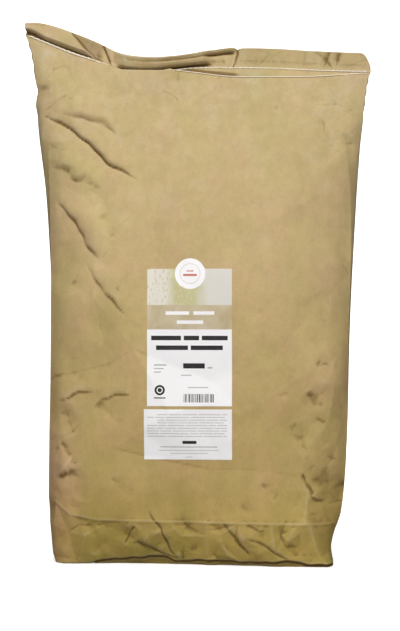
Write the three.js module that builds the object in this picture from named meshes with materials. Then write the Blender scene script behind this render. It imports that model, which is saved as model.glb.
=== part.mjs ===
// A 25 kg paper sack of flour that stands on its folded bottom, in millimetres.
// X runs across the front from left to right, Y away from the viewer, Z up.
// The origin is the middle of the base. The sack is a paper tube: its bottom is folded into a
// rectangle, its mouth is pressed flat and sewn shut, and a lip of paper stands above the seam.
import * as THREE from "three";
import { mergeVertices } from "three/addons/utils/BufferGeometryUtils.js";

// Driving sizes of the sack
const MOUTH_HALF = 255; // half the width of the sewn mouth
const SEAM_HEIGHT = 720; // height of the seam where it runs level
const LIP_THICKNESS = 2.4; // both walls of the tube pressed together, a little apart
const BASE_FOLD_HEIGHT = 64; // the level crease left by the folded bottom, half the depth of the base
const BELLY_DEPTH = 80; // how far the front and the back bulge from the middle
const BASE_DEPTH = 57; // half the depth of the base that it stands on
const BASE_FORWARD = { reach: 14, from: -60, to: 100, fade: 100 }; // the base lies forward on the right

// The left and right outline from the front: height, then distance from the middle
const LEFT_OUTLINE = [
  [0, -206],
  [14, -213],
  [60, -219],
  [130, -221],
  [410, -218],
  [470, -221],
  [532, -226],
  [600, -236],
  [660, -241],
  [692, -246],
  [SEAM_HEIGHT, -MOUTH_HALF],
];
const RIGHT_OUTLINE = [
  [0, 200],
  [24, 197],
  [44, 201],
  [75, 211],
  [150, 219],
  [354, 225],
  [494, 232],
  [600, 239],
  [690, 249],
  [SEAM_HEIGHT, MOUTH_HALF],
];

// Half depth of the filled sack at each height; the paper leaves the flour straight for the seam
const DEPTH = [
  [0, BASE_DEPTH],
  [14, 61],
  [BASE_FOLD_HEIGHT, 72],
  [150, 78],
  [270, BELLY_DEPTH],
  [400, 78],
  [520, 68],
  [620, 49],
  [690, 17],
  [SEAM_HEIGHT, LIP_THICKNESS / 2],
];

// How square the cross-section is at each height: near 2 is oval, more is a rounded box
const SQUARENESS = [
  [0, 16],
  [10, 9],
  [40, 4.6],
  [140, 3.1],
  [420, 2.7],
  [600, 2.3],
  [SEAM_HEIGHT, 2],
];
// How blunt its two ends are: 1 makes them sharp edges, as in the flat mouth
const BLUNTNESS = [
  [0, 8],
  [10, 5],
  [60, 3],
  [200, 2.3],
  [450, 2],
  [620, 1.5],
  [SEAM_HEIGHT, 1.1],
];

// The seam seen from the front: its left ear stands high, it dips and then runs level to the right
const SEAM_LINE = [
  [-MOUTH_HALF, 778],
  [-188, 751],
  [-150, 738],
  [-110, 722],
  [-60, 716],
  [-20, 721],
  [4, 728],
  [60, 727],
  [115, 725],
  [180, 721],
  [MOUTH_HALF, 718],
];
// The seam seen from above: the ears come forward and the dip lies back
const SEAM_DEPTH = [
  [-MOUTH_HALF, -12],
  [-140, -4],
  [-55, 9],
  [20, 3],
  [120, -3],
  [MOUTH_HALF, -8],
];
// Height of the lip of paper above the seam, lowest at the left ear
const LIP_HEIGHT = [
  [-MOUTH_HALF, 17],
  [-228, 27],
  [-188, 31],
  [-147, 29],
  [-60, 27],
  [10, 24],
  [60, 30],
  [MOUTH_HALF, 28],
];
// How far the top edge of the lip leans back from the seam, across its width
const LIP_LEAN = [
  [-MOUTH_HALF, 3],
  [-150, 6],
  [-60, -7],
  [0, -3],
  [90, 5],
  [MOUTH_HALF, 4],
];
const LIP_SETBACK = { depth: 4, by: 0.4 }; // the lip bends back by this share of its height
const LIP_TAPER = 0.05; // share of the half width over which both walls close up at each ear
const RIGHT_CORNER = { size: 14, drop: 0.72, curve: 2.2 }; // the turned-down corner at the right ear

// The front rolls over the seam where the mouth dips, between these shares of the seam's height
const ROLL = { middle: -57, spread: 46, height: 12, forward: 5, starts: [0.9, 0.975], ends: [0.985, 1] };

// Folds of the front as lines of x and z across it. A tuck stands out on its upper side and is
// pressed in on its lower side; a dent is pressed in and a ridge stands out on both sides.
const FRONT_FOLDS = [
  // The long tuck that falls from the left shoulder, with soft folds above and below it
  {
    kind: "tuck", rise: 4.5, reach: 17,
    line: [[-228, 660], [-190, 636], [-151, 608], [-120, 574], [-85, 560]],
  },
  { kind: "dent", rise: 3.5, reach: 14, line: [[-205, 664], [-168, 658], [-138, 647], [-108, 621]] },
  { kind: "tuck", rise: 2.5, reach: 14, line: [[-210, 577], [-172, 552], [-135, 536]] },
  { kind: "tuck", rise: 3.5, reach: 15, line: [[-203, 527], [-188, 508], [-171, 483], [-136, 444]] },
  { kind: "tuck", rise: 3, reach: 15, line: [[-159, 435], [-117, 393], [-83, 333]] },
  { kind: "tuck", rise: 2.5, reach: 12, line: [[-200, 239], [-141, 245], [-95, 225]] },
  // The bend where the front turns to the right side above the base
  { kind: "ridge", rise: 4, reach: 13, line: [[160, 126], [167, 95], [164, 69], [181, 24], [194, 8]] },
  { kind: "dent", rise: 4, reach: 12, line: [[155, 124], [179, 87], [205, 84]] },
  // Creases in the folded bottom
  { kind: "tuck", rise: 3, reach: 9, line: [[-68, 84], [-52, 60], [-35, 31], [-13, 8]] },
  { kind: "tuck", rise: 3, reach: 9, line: [[41, 68], [55, 50], [75, 20]] },
  { kind: "tuck", rise: 2.5, reach: 10, line: [[75, 44], [113, 22], [137, 8]] },
  { kind: "dent", rise: 3, reach: 11, line: [[79, 76], [101, 36]] },
];
// The back is creased in the same way
const BACK_FOLDS = [
  { kind: "tuck", rise: 3.5, reach: 16, line: [[205, 590], [160, 560], [110, 500], [80, 470]] },
  { kind: "tuck", rise: 3, reach: 15, line: [[-214, 610], [-170, 590], [-120, 548]] },
  { kind: "dent", rise: 3, reach: 13, line: [[190, 300], [150, 270], [120, 262]] },
  { kind: "tuck", rise: 3, reach: 10, line: [[-90, 70], [-60, 40], [-40, 10]] },
];
const TUCK_STEP = 3; // half the width over which a tuck steps down
const TUCK_GAIN = 1.6; // makes up for the height that the step takes
const FOLD_ENDS = { least: 0.25, start: 0.15, end: 0.2 }; // a fold fades over these shares of its length

// The level crease of the folded bottom, which climbs at the left edge
const BASE_CREASE = {
  rise: 2.6,
  reach: 16,
  line: [[-205, 89], [-182, 73], [-142, 66], [9, BASE_FOLD_HEIGHT], [155, 62], [203, 60]],
};

// The dark gap between the front panel and the rim of the base, and how it wanders up and down
const GAP = { height: 6, depth: 9, reach: 2.6 };
const GAP_WANDER = [
  [-200, -2],
  [-105, 1],
  [-61, 6],
  [-27, 0],
  [65, 0],
  [135, 2],
  [190, -2],
];

// The edge that the flat tube keeps down each side, in front of the middle on the filled sack
const SIDE_EDGE = { y: -20, rise: 2.2, reach: 7, from: 60, to: 640, fade: 40, depth: 62 };

// Above this share of its height the sack follows the slanting line of the seam
const FOLLOW_SEAM_FROM = 0.55;
const NEAR_EDGE = 30; // folds die out where the paper comes this close to the middle of the sack

// How finely the paper is divided
const ACROSS = 34; // parts across the front, with one more at each side
const FINE_STEPS = 400; // steps that measure the length of a cross-section
const STEP_POWER = 0.8; // spreads those steps between the blunt ends and the middle
const HEIGHTS = [
  0, 2, 4.5, 7, 10, 15, 22, 32, 44, 55, 64, 72, 84, 100, 120, 142, 166, 192, 220, 248, 276, 304, 332,
  358, 384, 408, 430, 452, 474, 496, 518, 538, 556, 572, 588, 602, 616, 630, 644, 657, 669, 680, 690,
  699, 707, 714, SEAM_HEIGHT,
];
const LIP_SHARES = [0.18, 0.42, 0.72, 1]; // further rows, as shares of the lip's height
const SEAM_ROW = HEIGHTS.length - 1;
const ROWS = SEAM_ROW + LIP_SHARES.length;

// Two glued paper labels on the front; the upper one is cut with a round tab on its top edge
const LABEL_THICKNESS = 0.5;
const LABEL_GAP = 0.5;
const LABEL_STEP = { across: 4.6, up: 14 }; // largest distance between its points
const UPPER_LABEL = { left: -67, right: 55, bottom: 231, top: 428, tab: { x: -5, z: 421, radius: 22 } };
const LOWER_LABEL = { left: -71.5, right: 55, bottom: 154, top: 226.5 };

// The thread of the seam, and a second one that is caught at both ears and bows down on the right.
// Its drop below the seam is given across the mouth.
const SEAM_THREAD_RADIUS = 1.1;
const LOOSE_THREAD_RADIUS = 0.9;
const THREAD_GAP = 0.6;
const THREAD_CURVE_PARTS = 4; // makes eight sides
const ROWS_NEAR_SEAM = 14; // rows of the paper that a thread may touch
const THREAD_STEPS = 66;
const THREAD_END = 249;
const LOOSE_THREAD_DROP = [
  [-MOUTH_HALF, 4.5],
  [-140, 4.5],
  [-55, 4],
  [-5, 7],
  [55, 14],
  [125, 13],
  [190, 8],
  [230, 4.5],
  [MOUTH_HALF, 4],
];

const clamp = (value, low, high) => Math.min(high, Math.max(low, value));
const mix = (a, b, share) => a + (b - a) * share;

// 0 below low, 1 above high, and a smooth rise between
function ease(low, high, value) {
  const share = clamp((value - low) / (high - low), 0, 1);
  return share * share * (3 - 2 * share);
}

// The value at a place on a smooth curve through pairs of place and value
function through(pairs, place) {
  const last = pairs.length - 1;
  if (place <= pairs[0][0]) return pairs[0][1];
  if (place >= pairs[last][0]) return pairs[last][1];
  let k = 0;
  while (pairs[k + 1][0] < place) k += 1;
  const slope = (i) => {
    const a = pairs[Math.max(i - 1, 0)];
    const b = pairs[Math.min(i + 1, last)];
    return (b[1] - a[1]) / (b[0] - a[0]);
  };
  const step = pairs[k + 1][0] - pairs[k][0];
  const s = (place - pairs[k][0]) / step;
  const start = s * (1 - s) * (1 - s) * step * slope(k);
  const end = s * s * (s - 1) * step * slope(k + 1);
  return mix(pairs[k][1], pairs[k + 1][1], s * s * (3 - 2 * s)) + start + end;
}

// How far a point lies from a line of points, on which side, and how far along it
function nearest(line, x, z) {
  let best = { distance: Infinity, side: 1, along: 0 };
  for (let i = 0; i + 1 < line.length; i += 1) {
    const [ax, az] = line[i];
    const [bx, bz] = line[i + 1];
    const lengthSquared = (bx - ax) ** 2 + (bz - az) ** 2;
    const share = clamp(((x - ax) * (bx - ax) + (z - az) * (bz - az)) / lengthSquared, 0, 1);
    const dx = x - mix(ax, bx, share);
    const dz = z - mix(az, bz, share);
    const distance = Math.hypot(dx, dz);
    if (distance < best.distance) {
      const upward = bx >= ax ? 1 : -1;
      const side = Math.sign(((bx - ax) * dz - (bz - az) * dx) * upward) || 1;
      best = { distance, side, along: (i + share) / (line.length - 1) };
    }
  }
  return best;
}

// How far a fold moves the paper out of its surface at a point
function foldHeight(fold, x, z) {
  const { distance, side, along } = nearest(fold.line, x, z);
  const fade = mix(FOLD_ENDS.least, 1, ease(0, FOLD_ENDS.start, along) * ease(0, FOLD_ENDS.end, 1 - along));
  const strength = fold.rise * fade * Math.exp(-distance / fold.reach);
  if (fold.kind === "ridge") return strength;
  if (fold.kind === "dent") return -strength;
  return strength * side * Math.tanh(distance / TUCK_STEP) * TUCK_GAIN;
}
const foldsHeight = (folds, x, z) => folds.reduce((sum, fold) => sum + foldHeight(fold, x, z), 0);

// Points of one wall of the cross-section at a height, evenly spaced from its left to its right edge
function wall(height) {
  const left = through(LEFT_OUTLINE, height);
  const right = through(RIGHT_OUTLINE, height);
  const depth = through(DEPTH, height);
  const square = through(SQUARENESS, height);
  const blunt = through(BLUNTNESS, height);
  const fine = [];
  const lengths = [0];
  for (let i = 0; i <= FINE_STEPS; i += 1) {
    const turn = Math.cos((Math.PI * i) / FINE_STEPS);
    const across = -Math.sign(turn) * Math.abs(turn) ** STEP_POWER;
    const out = (1 - Math.abs(across) ** square) ** (1 / blunt);
    fine.push([mix(left, right, (across + 1) / 2), depth * out]);
    const before = fine[Math.max(i - 1, 0)];
    if (i > 0) lengths.push(lengths[i - 1] + Math.hypot(fine[i][0] - before[0], fine[i][1] - before[1]));
  }
  const points = [];
  let k = 0;
  for (let i = 0; i <= ACROSS + 2; i += 1) {
    const target = (lengths[FINE_STEPS] * i) / (ACROSS + 2);
    while (k < FINE_STEPS - 1 && lengths[k + 1] < target) k += 1;
    const share = clamp((target - lengths[k]) / (lengths[k + 1] - lengths[k]), 0, 1);
    points.push([mix(fine[k][0], fine[k + 1][0], share), mix(fine[k][1], fine[k + 1][1], share)]);
  }
  return points;
}

const walls = HEIGHTS.map(wall);
const seamHeight = (x) => through(SEAM_LINE, x);
const seamDepth = (x) => through(SEAM_DEPTH, x);

// A point of the paper below the seam. Side is -1 on the front, 1 on the back and 0 between them.
function paperPoint(height, side, x, depth) {
  const share = height / SEAM_HEIGHT;
  const rise = ease(FOLLOW_SEAM_FROM, 1, share);
  const flat = ease(0, NEAR_EDGE, depth);
  const baseZ = height + rise * (seamHeight(x) - SEAM_HEIGHT);
  const forward = BASE_FORWARD.reach * ease(BASE_FORWARD.from, BASE_FORWARD.to, x);
  let y = side * depth + rise * seamDepth(x) - forward * (1 - ease(0, BASE_FORWARD.fade, height));
  let z = baseZ;
  if (side < 0) {
    const crease = nearest(BASE_CREASE.line, x, baseZ);
    const gapDistance = (baseZ - GAP.height - through(GAP_WANDER, x)) / GAP.reach;
    const nearSeam = ease(...ROLL.starts, share) * (1 - ease(...ROLL.ends, share));
    const roll = Math.exp(-(((x - ROLL.middle) / ROLL.spread) ** 2)) * nearSeam;
    y -= foldsHeight(FRONT_FOLDS, x, baseZ) * flat;
    y -= BASE_CREASE.rise * Math.exp(-crease.distance / BASE_CREASE.reach);
    y += GAP.depth * Math.exp(-(gapDistance ** 2)) * flat;
    y -= ROLL.forward * roll;
    z += ROLL.height * roll;
  }
  if (side > 0) y += foldsHeight(BACK_FOLDS, x, baseZ) * flat;
  const outer = 1 - ease(NEAR_EDGE, SIDE_EDGE.depth, depth);
  const beside = Math.exp(-Math.abs(y - SIDE_EDGE.y) / SIDE_EDGE.reach) * outer;
  const upright = ease(SIDE_EDGE.from - SIDE_EDGE.fade, SIDE_EDGE.from + SIDE_EDGE.fade, z);
  const below = 1 - ease(SIDE_EDGE.to - SIDE_EDGE.fade, SIDE_EDGE.to + SIDE_EDGE.fade, z);
  return [x + Math.sign(x) * SIDE_EDGE.rise * beside * upright * below, y, z];
}

// A point of the lip: share 0 is the seam and 1 its top edge
function lipPoint(share, side, x) {
  const corner = clamp((x - MOUTH_HALF) / RIGHT_CORNER.size + 1, 0, 1);
  const height = through(LIP_HEIGHT, x) * (1 - RIGHT_CORNER.drop * corner ** RIGHT_CORNER.curve);
  const lean = through(LIP_LEAN, x) * share + LIP_SETBACK.depth * ease(0, LIP_SETBACK.by, share);
  const closing = Math.min(1, (1 - Math.abs(x) / (MOUTH_HALF + 1)) / LIP_TAPER);
  return [x, seamDepth(x) + lean + (side * closing * LIP_THICKNESS) / 2, seamHeight(x) + height * share];
}

// The sack's point in a row, counted up from the base, and a column, counted from the left edge
function sackPoint(row, column, side) {
  if (row > SEAM_ROW) return lipPoint(LIP_SHARES[row - SEAM_ROW - 1], side, walls[SEAM_ROW][column][0]);
  const [x, depth] = walls[row][column];
  return paperPoint(HEIGHTS[row], side, x, depth);
}

// The front of the sack from its base to the top of its lip at x, as points of y and z
function frontProfile(x) {
  const profile = [];
  for (let row = 0; row <= ROWS; row += 1) {
    const points = walls[0].map((_, column) => sackPoint(row, column, -1));
    let k = 0;
    while (k < points.length - 2 && points[k + 1][0] < x) k += 1;
    const share = clamp((x - points[k][0]) / (points[k + 1][0] - points[k][0]), 0, 1);
    profile.push([mix(points[k][1], points[k + 1][1], share), mix(points[k][2], points[k + 1][2], share)]);
  }
  return profile;
}

// How deep the front lies in a profile at the height z
function depthAt(profile, z) {
  let k = 0;
  while (k < profile.length - 2 && profile[k + 1][1] < z) k += 1;
  const share = clamp((z - profile[k][1]) / (profile[k + 1][1] - profile[k][1]), 0, 1);
  return mix(profile[k][0], profile[k + 1][0], share);
}

// A mesh of one closed box, with each of its points moved by a function
function shaped(name, box, move, colour, roughness) {
  box.deleteAttribute("normal");
  box.deleteAttribute("uv");
  const geometry = mergeVertices(box);
  const position = geometry.attributes.position;
  for (let i = 0; i < position.count; i += 1) {
    position.setXYZ(i, ...move(position.getX(i), position.getY(i), position.getZ(i)));
  }
  geometry.computeVertexNormals();
  const material = new THREE.MeshStandardMaterial({ color: colour, roughness, metalness: 0 });
  const mesh = new THREE.Mesh(geometry, material);
  mesh.name = name;
  return mesh;
}

// The sack starts as a box with one column for each point of its walls
function sack() {
  const box = new THREE.BoxGeometry(ACROSS, 2, ROWS, ACROSS, 2, ROWS);
  const move = (x, y, z) => {
    const side = Math.round(y);
    const atSide = side === 0 ? Math.sign(x) * (Math.abs(x) > ACROSS / 2 - 0.5 ? 1 : 0) : 0;
    return sackPoint(Math.round(z + ROWS / 2), Math.round(x + ACROSS / 2) + 1 + atSide, side);
  };
  return shaped("sack", box, move, 0xc2a877, 0.85);
}

// A label starts as a thin box and is laid on the front
function label(name, place, colour) {
  const columns = Math.ceil((place.right - place.left) / LABEL_STEP.across);
  const rows = Math.ceil((place.top - place.bottom) / LABEL_STEP.up);
  const profiles = new Map();
  const profileAt = (x) => {
    if (!profiles.has(x)) profiles.set(x, frontProfile(x));
    return profiles.get(x);
  };
  const topAt = (x) => {
    if (!place.tab) return place.top;
    const reach = place.tab.radius ** 2 - (x - place.tab.x) ** 2;
    return reach > 0 ? Math.max(place.top, place.tab.z + Math.sqrt(reach)) : place.top;
  };
  const box = new THREE.BoxGeometry(1, 1, 1, columns, 1, rows);
  const move = (u, v, w) => {
    const x = mix(place.left, place.right, u + 0.5);
    const z = mix(place.bottom, topAt(x), w + 0.5);
    const out = LABEL_GAP + (v < 0 ? LABEL_THICKNESS : 0);
    return [x, depthAt(profileAt(x), z) - out, z];
  };
  return shaped(name, box, move, colour, 0.55);
}

// A thread that lies on the front of the paper, a drop below the seam
function thread(name, radius, dropAt) {
  const points = [];
  for (let i = 0; i <= THREAD_STEPS; i += 1) {
    const x = mix(-THREAD_END, THREAD_END, i / THREAD_STEPS);
    const z = seamHeight(x) - dropAt(x);
    const profile = frontProfile(x);
    const reach = radius + 2 * THREAD_GAP;
    const near = profile.slice(-ROWS_NEAR_SEAM).filter(([, height]) => Math.abs(height - z) < reach);
    const front = Math.min(depthAt(profile, z - reach), depthAt(profile, z), ...near.map(([y]) => y));
    points.push(new THREE.Vector3(x, front - radius - THREAD_GAP, z));
  }
  const section = new THREE.Shape();
  section.absarc(0, 0, radius, 0, 2 * Math.PI);
  const geometry = new THREE.ExtrudeGeometry(section, {
    steps: THREAD_STEPS,
    bevelEnabled: false,
    curveSegments: THREAD_CURVE_PARTS,
    extrudePath: new THREE.CatmullRomCurve3(points),
  });
  const mesh = new THREE.Mesh(geometry, new THREE.MeshStandardMaterial({ color: 0xf2e6d2, roughness: 0.9 }));
  mesh.name = name;
  return mesh;
}

const group = new THREE.Group();
group.add(sack());
group.add(label("upper_label", UPPER_LABEL, 0xeeeef0));
group.add(label("lower_label", LOWER_LABEL, 0xe9eaee));
group.add(thread("seam_thread", SEAM_THREAD_RADIUS, () => 0));
group.add(thread("loose_thread", LOOSE_THREAD_RADIUS, (x) => through(LOOSE_THREAD_DROP, x)));

export default group;
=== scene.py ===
from math import cos, pi, radians, sin

import bpy
import numpy as np
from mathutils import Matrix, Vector
from mathutils.bvhtree import BVHTree
from mathutils.geometry import delaunay_2d_cdt


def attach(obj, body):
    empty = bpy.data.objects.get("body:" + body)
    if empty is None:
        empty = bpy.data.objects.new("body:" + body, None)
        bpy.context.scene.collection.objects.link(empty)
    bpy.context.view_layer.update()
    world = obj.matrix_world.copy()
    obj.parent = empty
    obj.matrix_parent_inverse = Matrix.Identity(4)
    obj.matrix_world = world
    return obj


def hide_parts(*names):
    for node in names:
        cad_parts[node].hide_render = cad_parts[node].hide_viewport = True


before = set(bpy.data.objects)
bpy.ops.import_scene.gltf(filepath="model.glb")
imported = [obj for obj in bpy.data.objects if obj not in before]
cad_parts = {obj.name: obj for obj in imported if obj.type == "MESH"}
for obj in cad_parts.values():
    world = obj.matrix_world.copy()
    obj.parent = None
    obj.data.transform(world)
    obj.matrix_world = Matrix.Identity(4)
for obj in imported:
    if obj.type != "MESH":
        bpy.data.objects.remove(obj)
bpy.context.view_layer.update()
scene = bpy.context.scene

# The studio: a pale floor that curves up behind the sack, a large soft light above the front, a
# weak fill from the front and an even white surround. The camera stands level and a little to the
# right of the front.
IMAGE_HEIGHT = 631
METRES_PER_PIXEL = 0.00148
EYE_HEIGHT = 0.361
EYE_DISTANCE = 2.5
EYE_TURN = radians(4)
EYE_SIDE = 0.0037

camera_data = bpy.data.cameras.new("camera")
camera_data.sensor_fit = "VERTICAL"
camera_data.angle_y = 2 * float(np.arctan(IMAGE_HEIGHT * METRES_PER_PIXEL / 2 / EYE_DISTANCE))
camera = bpy.data.objects.new("camera", camera_data)
scene.collection.objects.link(camera)
camera.location = (
    EYE_DISTANCE * sin(EYE_TURN) + EYE_SIDE * cos(EYE_TURN),
    -EYE_DISTANCE * cos(EYE_TURN) + EYE_SIDE * sin(EYE_TURN),
    EYE_HEIGHT,
)
camera.rotation_euler = (radians(90), 0, EYE_TURN)
scene.camera = camera
scene.view_settings.view_transform = "Standard"

FLOOR_HALF = 3.5
SWEEP_RADIUS = 1.2
SWEEP_PARTS = 16
FLOOR_NEAR = 0.9  # the floor glows less than this far from the sack, so that its shadow shows
FLOOR_FAR = 2.2


def add_node(tree, kind, **settings):
    """Adds a shader node; each setting is an input's value or a property of the node."""
    node = tree.nodes.new("ShaderNode" + kind)
    for name, value in settings.items():
        if name in node.inputs.keys():
            node.inputs[name].default_value = value
        else:
            setattr(node, name, value)
    return node


def calculate(tree, operation, *values, clamp=False):
    node = add_node(tree, "Math", operation=operation, use_clamp=clamp)
    for socket, value in zip(node.inputs, values):
        if isinstance(value, (int, float)):
            socket.default_value = value
        else:
            tree.links.new(value, socket)
    return node.outputs[0]


def span(tree, value, low, high, new_low, new_high):
    """Carries a value from one range to another and holds it inside that."""
    node = add_node(tree, "MapRange", clamp=True)
    tree.links.new(value, node.inputs["Value"])
    for name, number in zip(("From Min", "From Max", "To Min", "To Max"), (low, high, new_low, new_high)):
        node.inputs[name].default_value = number
    return node.outputs[0]


bpy.ops.object.select_all(action="DESELECT")
bpy.ops.mesh.primitive_plane_add(size=2 * FLOOR_HALF)
floor = bpy.context.object
floor.name = "studio_floor"
bpy.ops.object.mode_set(mode="EDIT")
bpy.ops.mesh.select_all(action="DESELECT")
bpy.ops.object.mode_set(mode="OBJECT")
for edge in floor.data.edges:
    edge.select = all(floor.data.vertices[v].co.y > 0 for v in edge.vertices)
for vertex in floor.data.vertices:
    vertex.select = vertex.co.y > 0
bpy.ops.object.mode_set(mode="EDIT")
bpy.ops.mesh.select_mode(type="EDGE")
for part in range(SWEEP_PARTS):
    turn = (part + 0.5) / SWEEP_PARTS * pi / 2
    step = SWEEP_RADIUS * pi / 2 / SWEEP_PARTS
    move = (0, step * cos(turn), step * sin(turn))
    bpy.ops.mesh.extrude_region_move(TRANSFORM_OT_translate={"value": move})
bpy.ops.mesh.extrude_region_move(TRANSFORM_OT_translate={"value": (0, 0, FLOOR_HALF)})
bpy.ops.object.mode_set(mode="OBJECT")
bpy.ops.object.shade_smooth()
studio_white = bpy.data.materials.new("studio_white")
studio_white.use_nodes = True
studio_tree = studio_white.node_tree
studio_shader = studio_tree.nodes["Principled BSDF"]
studio_shader.inputs["Roughness"].default_value = 0.9
studio_shader.inputs["Emission Color"].default_value = (1, 1, 1, 1)
seen = add_node(studio_tree, "LightPath").outputs["Is Camera Ray"]
reach = add_node(studio_tree, "VectorMath", operation="LENGTH")
studio_tree.links.new(add_node(studio_tree, "TexCoord").outputs["Object"], reach.inputs[0])
glow = span(studio_tree, reach.outputs["Value"], FLOOR_NEAR, FLOOR_FAR, 0.5, 1.0)
glow = calculate(studio_tree, "MULTIPLY", glow, seen)
studio_tree.links.new(glow, studio_shader.inputs["Emission Strength"])
studio_tree.links.new(span(studio_tree, seen, 0, 1, 0.28, 0.85), studio_shader.inputs["Base Color"])
floor.data.materials.append(studio_white)


def soft_light(name, place, aim, size, power, colour):
    data = bpy.data.lights.new(name, "AREA")
    data.shape = "RECTANGLE"
    data.size, data.size_y = size
    data.energy = power
    data.color = colour
    light = bpy.data.objects.new(name, data)
    scene.collection.objects.link(light)
    light.location = place
    light.rotation_euler = (Vector(aim) - Vector(place)).to_track_quat("-Z", "Y").to_euler()


soft_light("light_above", (0.1, -1.6, 1.95), (0, 0, 0.4), (1.0, 0.7), 38, (1.0, 0.985, 0.96))
soft_light("light_front", (0.1, -2.6, 0.45), (0, 0, 0.4), (1.5, 1.0), 19, (1.0, 0.99, 0.97))
soft_light("light_backdrop", (0.0, 1.6, 3.4), (0, 4.6, 0.9), (4.0, 1.5), 75, (1.0, 1.0, 1.0))
soft_light("light_behind", (-0.3, 2.3, 1.5), (0, 0, 0.4), (1.6, 1.2), 34, (1.0, 0.99, 0.97))
world = bpy.data.worlds.new("surround")
scene.world = world
world.use_nodes = True
surround = world.node_tree
surround_light = surround.nodes["Background"]
surround_light.inputs["Color"].default_value = (1.0, 1.0, 1.0, 1)
surround_seen = add_node(surround, "LightPath").outputs["Is Camera Ray"]
surround.links.new(span(surround, surround_seen, 0, 1, 0.16, 1.0), surround_light.inputs["Strength"])

# The walls of the sack are a tube of brown kraft paper, several plies thick. It is pressed flat at
# the mouth and sewn, folded into a rectangle at the bottom and filled with flour, so it is crowned
# in front and behind and keeps the two pressed edges of the tube. Sizes here are in millimetres.
MILLIMETRE = 0.001
MOUTH_HALF = 255
SEAM_HEIGHT = 720
SEAM_HALF_DEPTH = 0.6
BASE_LIFT = 1.0  # the walls end this far up, on the flaps of the folded bottom
PRESSED_EDGE = 20  # how far in front of the middle the two pressed edges of the tube lie
FRONT_COLUMNS = 300
BACK_COLUMNS = 220
ROW_BANDS = [(0, 14, 1.2), (14, 112, 1.9), (112, 420, 3.2), (420, 704, 1.9), (704, SEAM_HEIGHT, 1.3)]
LEFT_OUTLINE = [
    (0, -206), (14, -212), (60, -217), (130, -219), (410, -218), (470, -221), (532, -226),
    (600, -236), (660, -241), (692, -246), (720, -255),
]
RIGHT_OUTLINE = [
    (0, 200), (24, 197), (44, 201), (75, 211), (150, 219), (354, 225), (494, 232), (600, 239),
    (690, 249), (720, 255),
]
DEPTH = [
    (0, 57), (14, 61), (64, 72), (150, 78), (270, 80), (400, 78), (520, 68), (620, 49), (690, 17),
    (720, SEAM_HALF_DEPTH),
]
SQUARENESS = [(0, 16), (10, 9), (40, 4.6), (140, 3.1), (420, 2.7), (600, 2.3), (720, 2)]
BLUNTNESS = [(0, 8), (10, 5), (60, 3), (200, 2.3), (450, 2), (620, 1.5), (720, 1.1)]
SEAM_LINE = [
    (-255, 778), (-188, 751), (-150, 738), (-110, 722), (-68, 720), (-38, 725), (-14, 727.5), (12, 728),
    (60, 727), (115, 725), (180, 721), (255, 718),
]
SEAM_DEPTH = [(-255, -12), (-140, -4), (-55, 9), (20, 3), (120, -3), (255, -8)]
BASE_CREASE = [(-205, 89), (-182, 73), (-142, 66), (9, 64), (155, 62), (203, 60)]
CREASE_SWELL = 2.6  # how far the front comes out at the crease of the base
CREASE_EDGE = 0.9
FOOT_FORWARD = 14  # how far the right part of the foot stands forward
GAP_HEIGHT = 6  # of the gap over the turned-in foot of the front, which wanders up and down
GAP_DEPTH = 9
FOOT_BACK = 7  # how far the foot under the gap lies back
GAP_WANDER = [
    (-205, -9), (-160, -6), (-130, -1), (-105, 1), (-75, 4), (-61, 7), (-44, 5), (-27, -1), (-8, -1),
    (30, 1.5), (65, 0), (100, -1.5), (135, 2), (165, -2), (190, -4),
]
NEAR_EDGE = 30  # the narrow sides of the sack begin this close to its middle
FOLDS_FADE = 14  # folds die out this close to the middle of the narrow sides
LOOSE_DROP = [  # how far the loose thread hangs below the seam
    (-255, 0.6), (-165, 0.4), (-140, -1.5), (-45, -1.5), (-5, 7), (55, 14), (125, 13), (190, 8),
    (230, 3.5), (255, 2.2),
]
FOLLOWS_SEAM = 0.55  # above this share of its height the sack follows the line of the seam
ROLL_TOP = 725  # the front rolls up to this height over the sunken middle of the seam
ROLL_SPAN = (-172, -118, -42, -27)
ROLL_OUT = 6
EAR_ARCH = [(-218, 716), (-209, 726), (-200, 731), (-193, 729), (-188, 723), (-184, 712)]
CHEEK_TOP = 140
CHEEK_LINE = [(156, CHEEK_TOP), (164, 100), (160, 69), (178, 24), (196, -4)]

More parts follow.
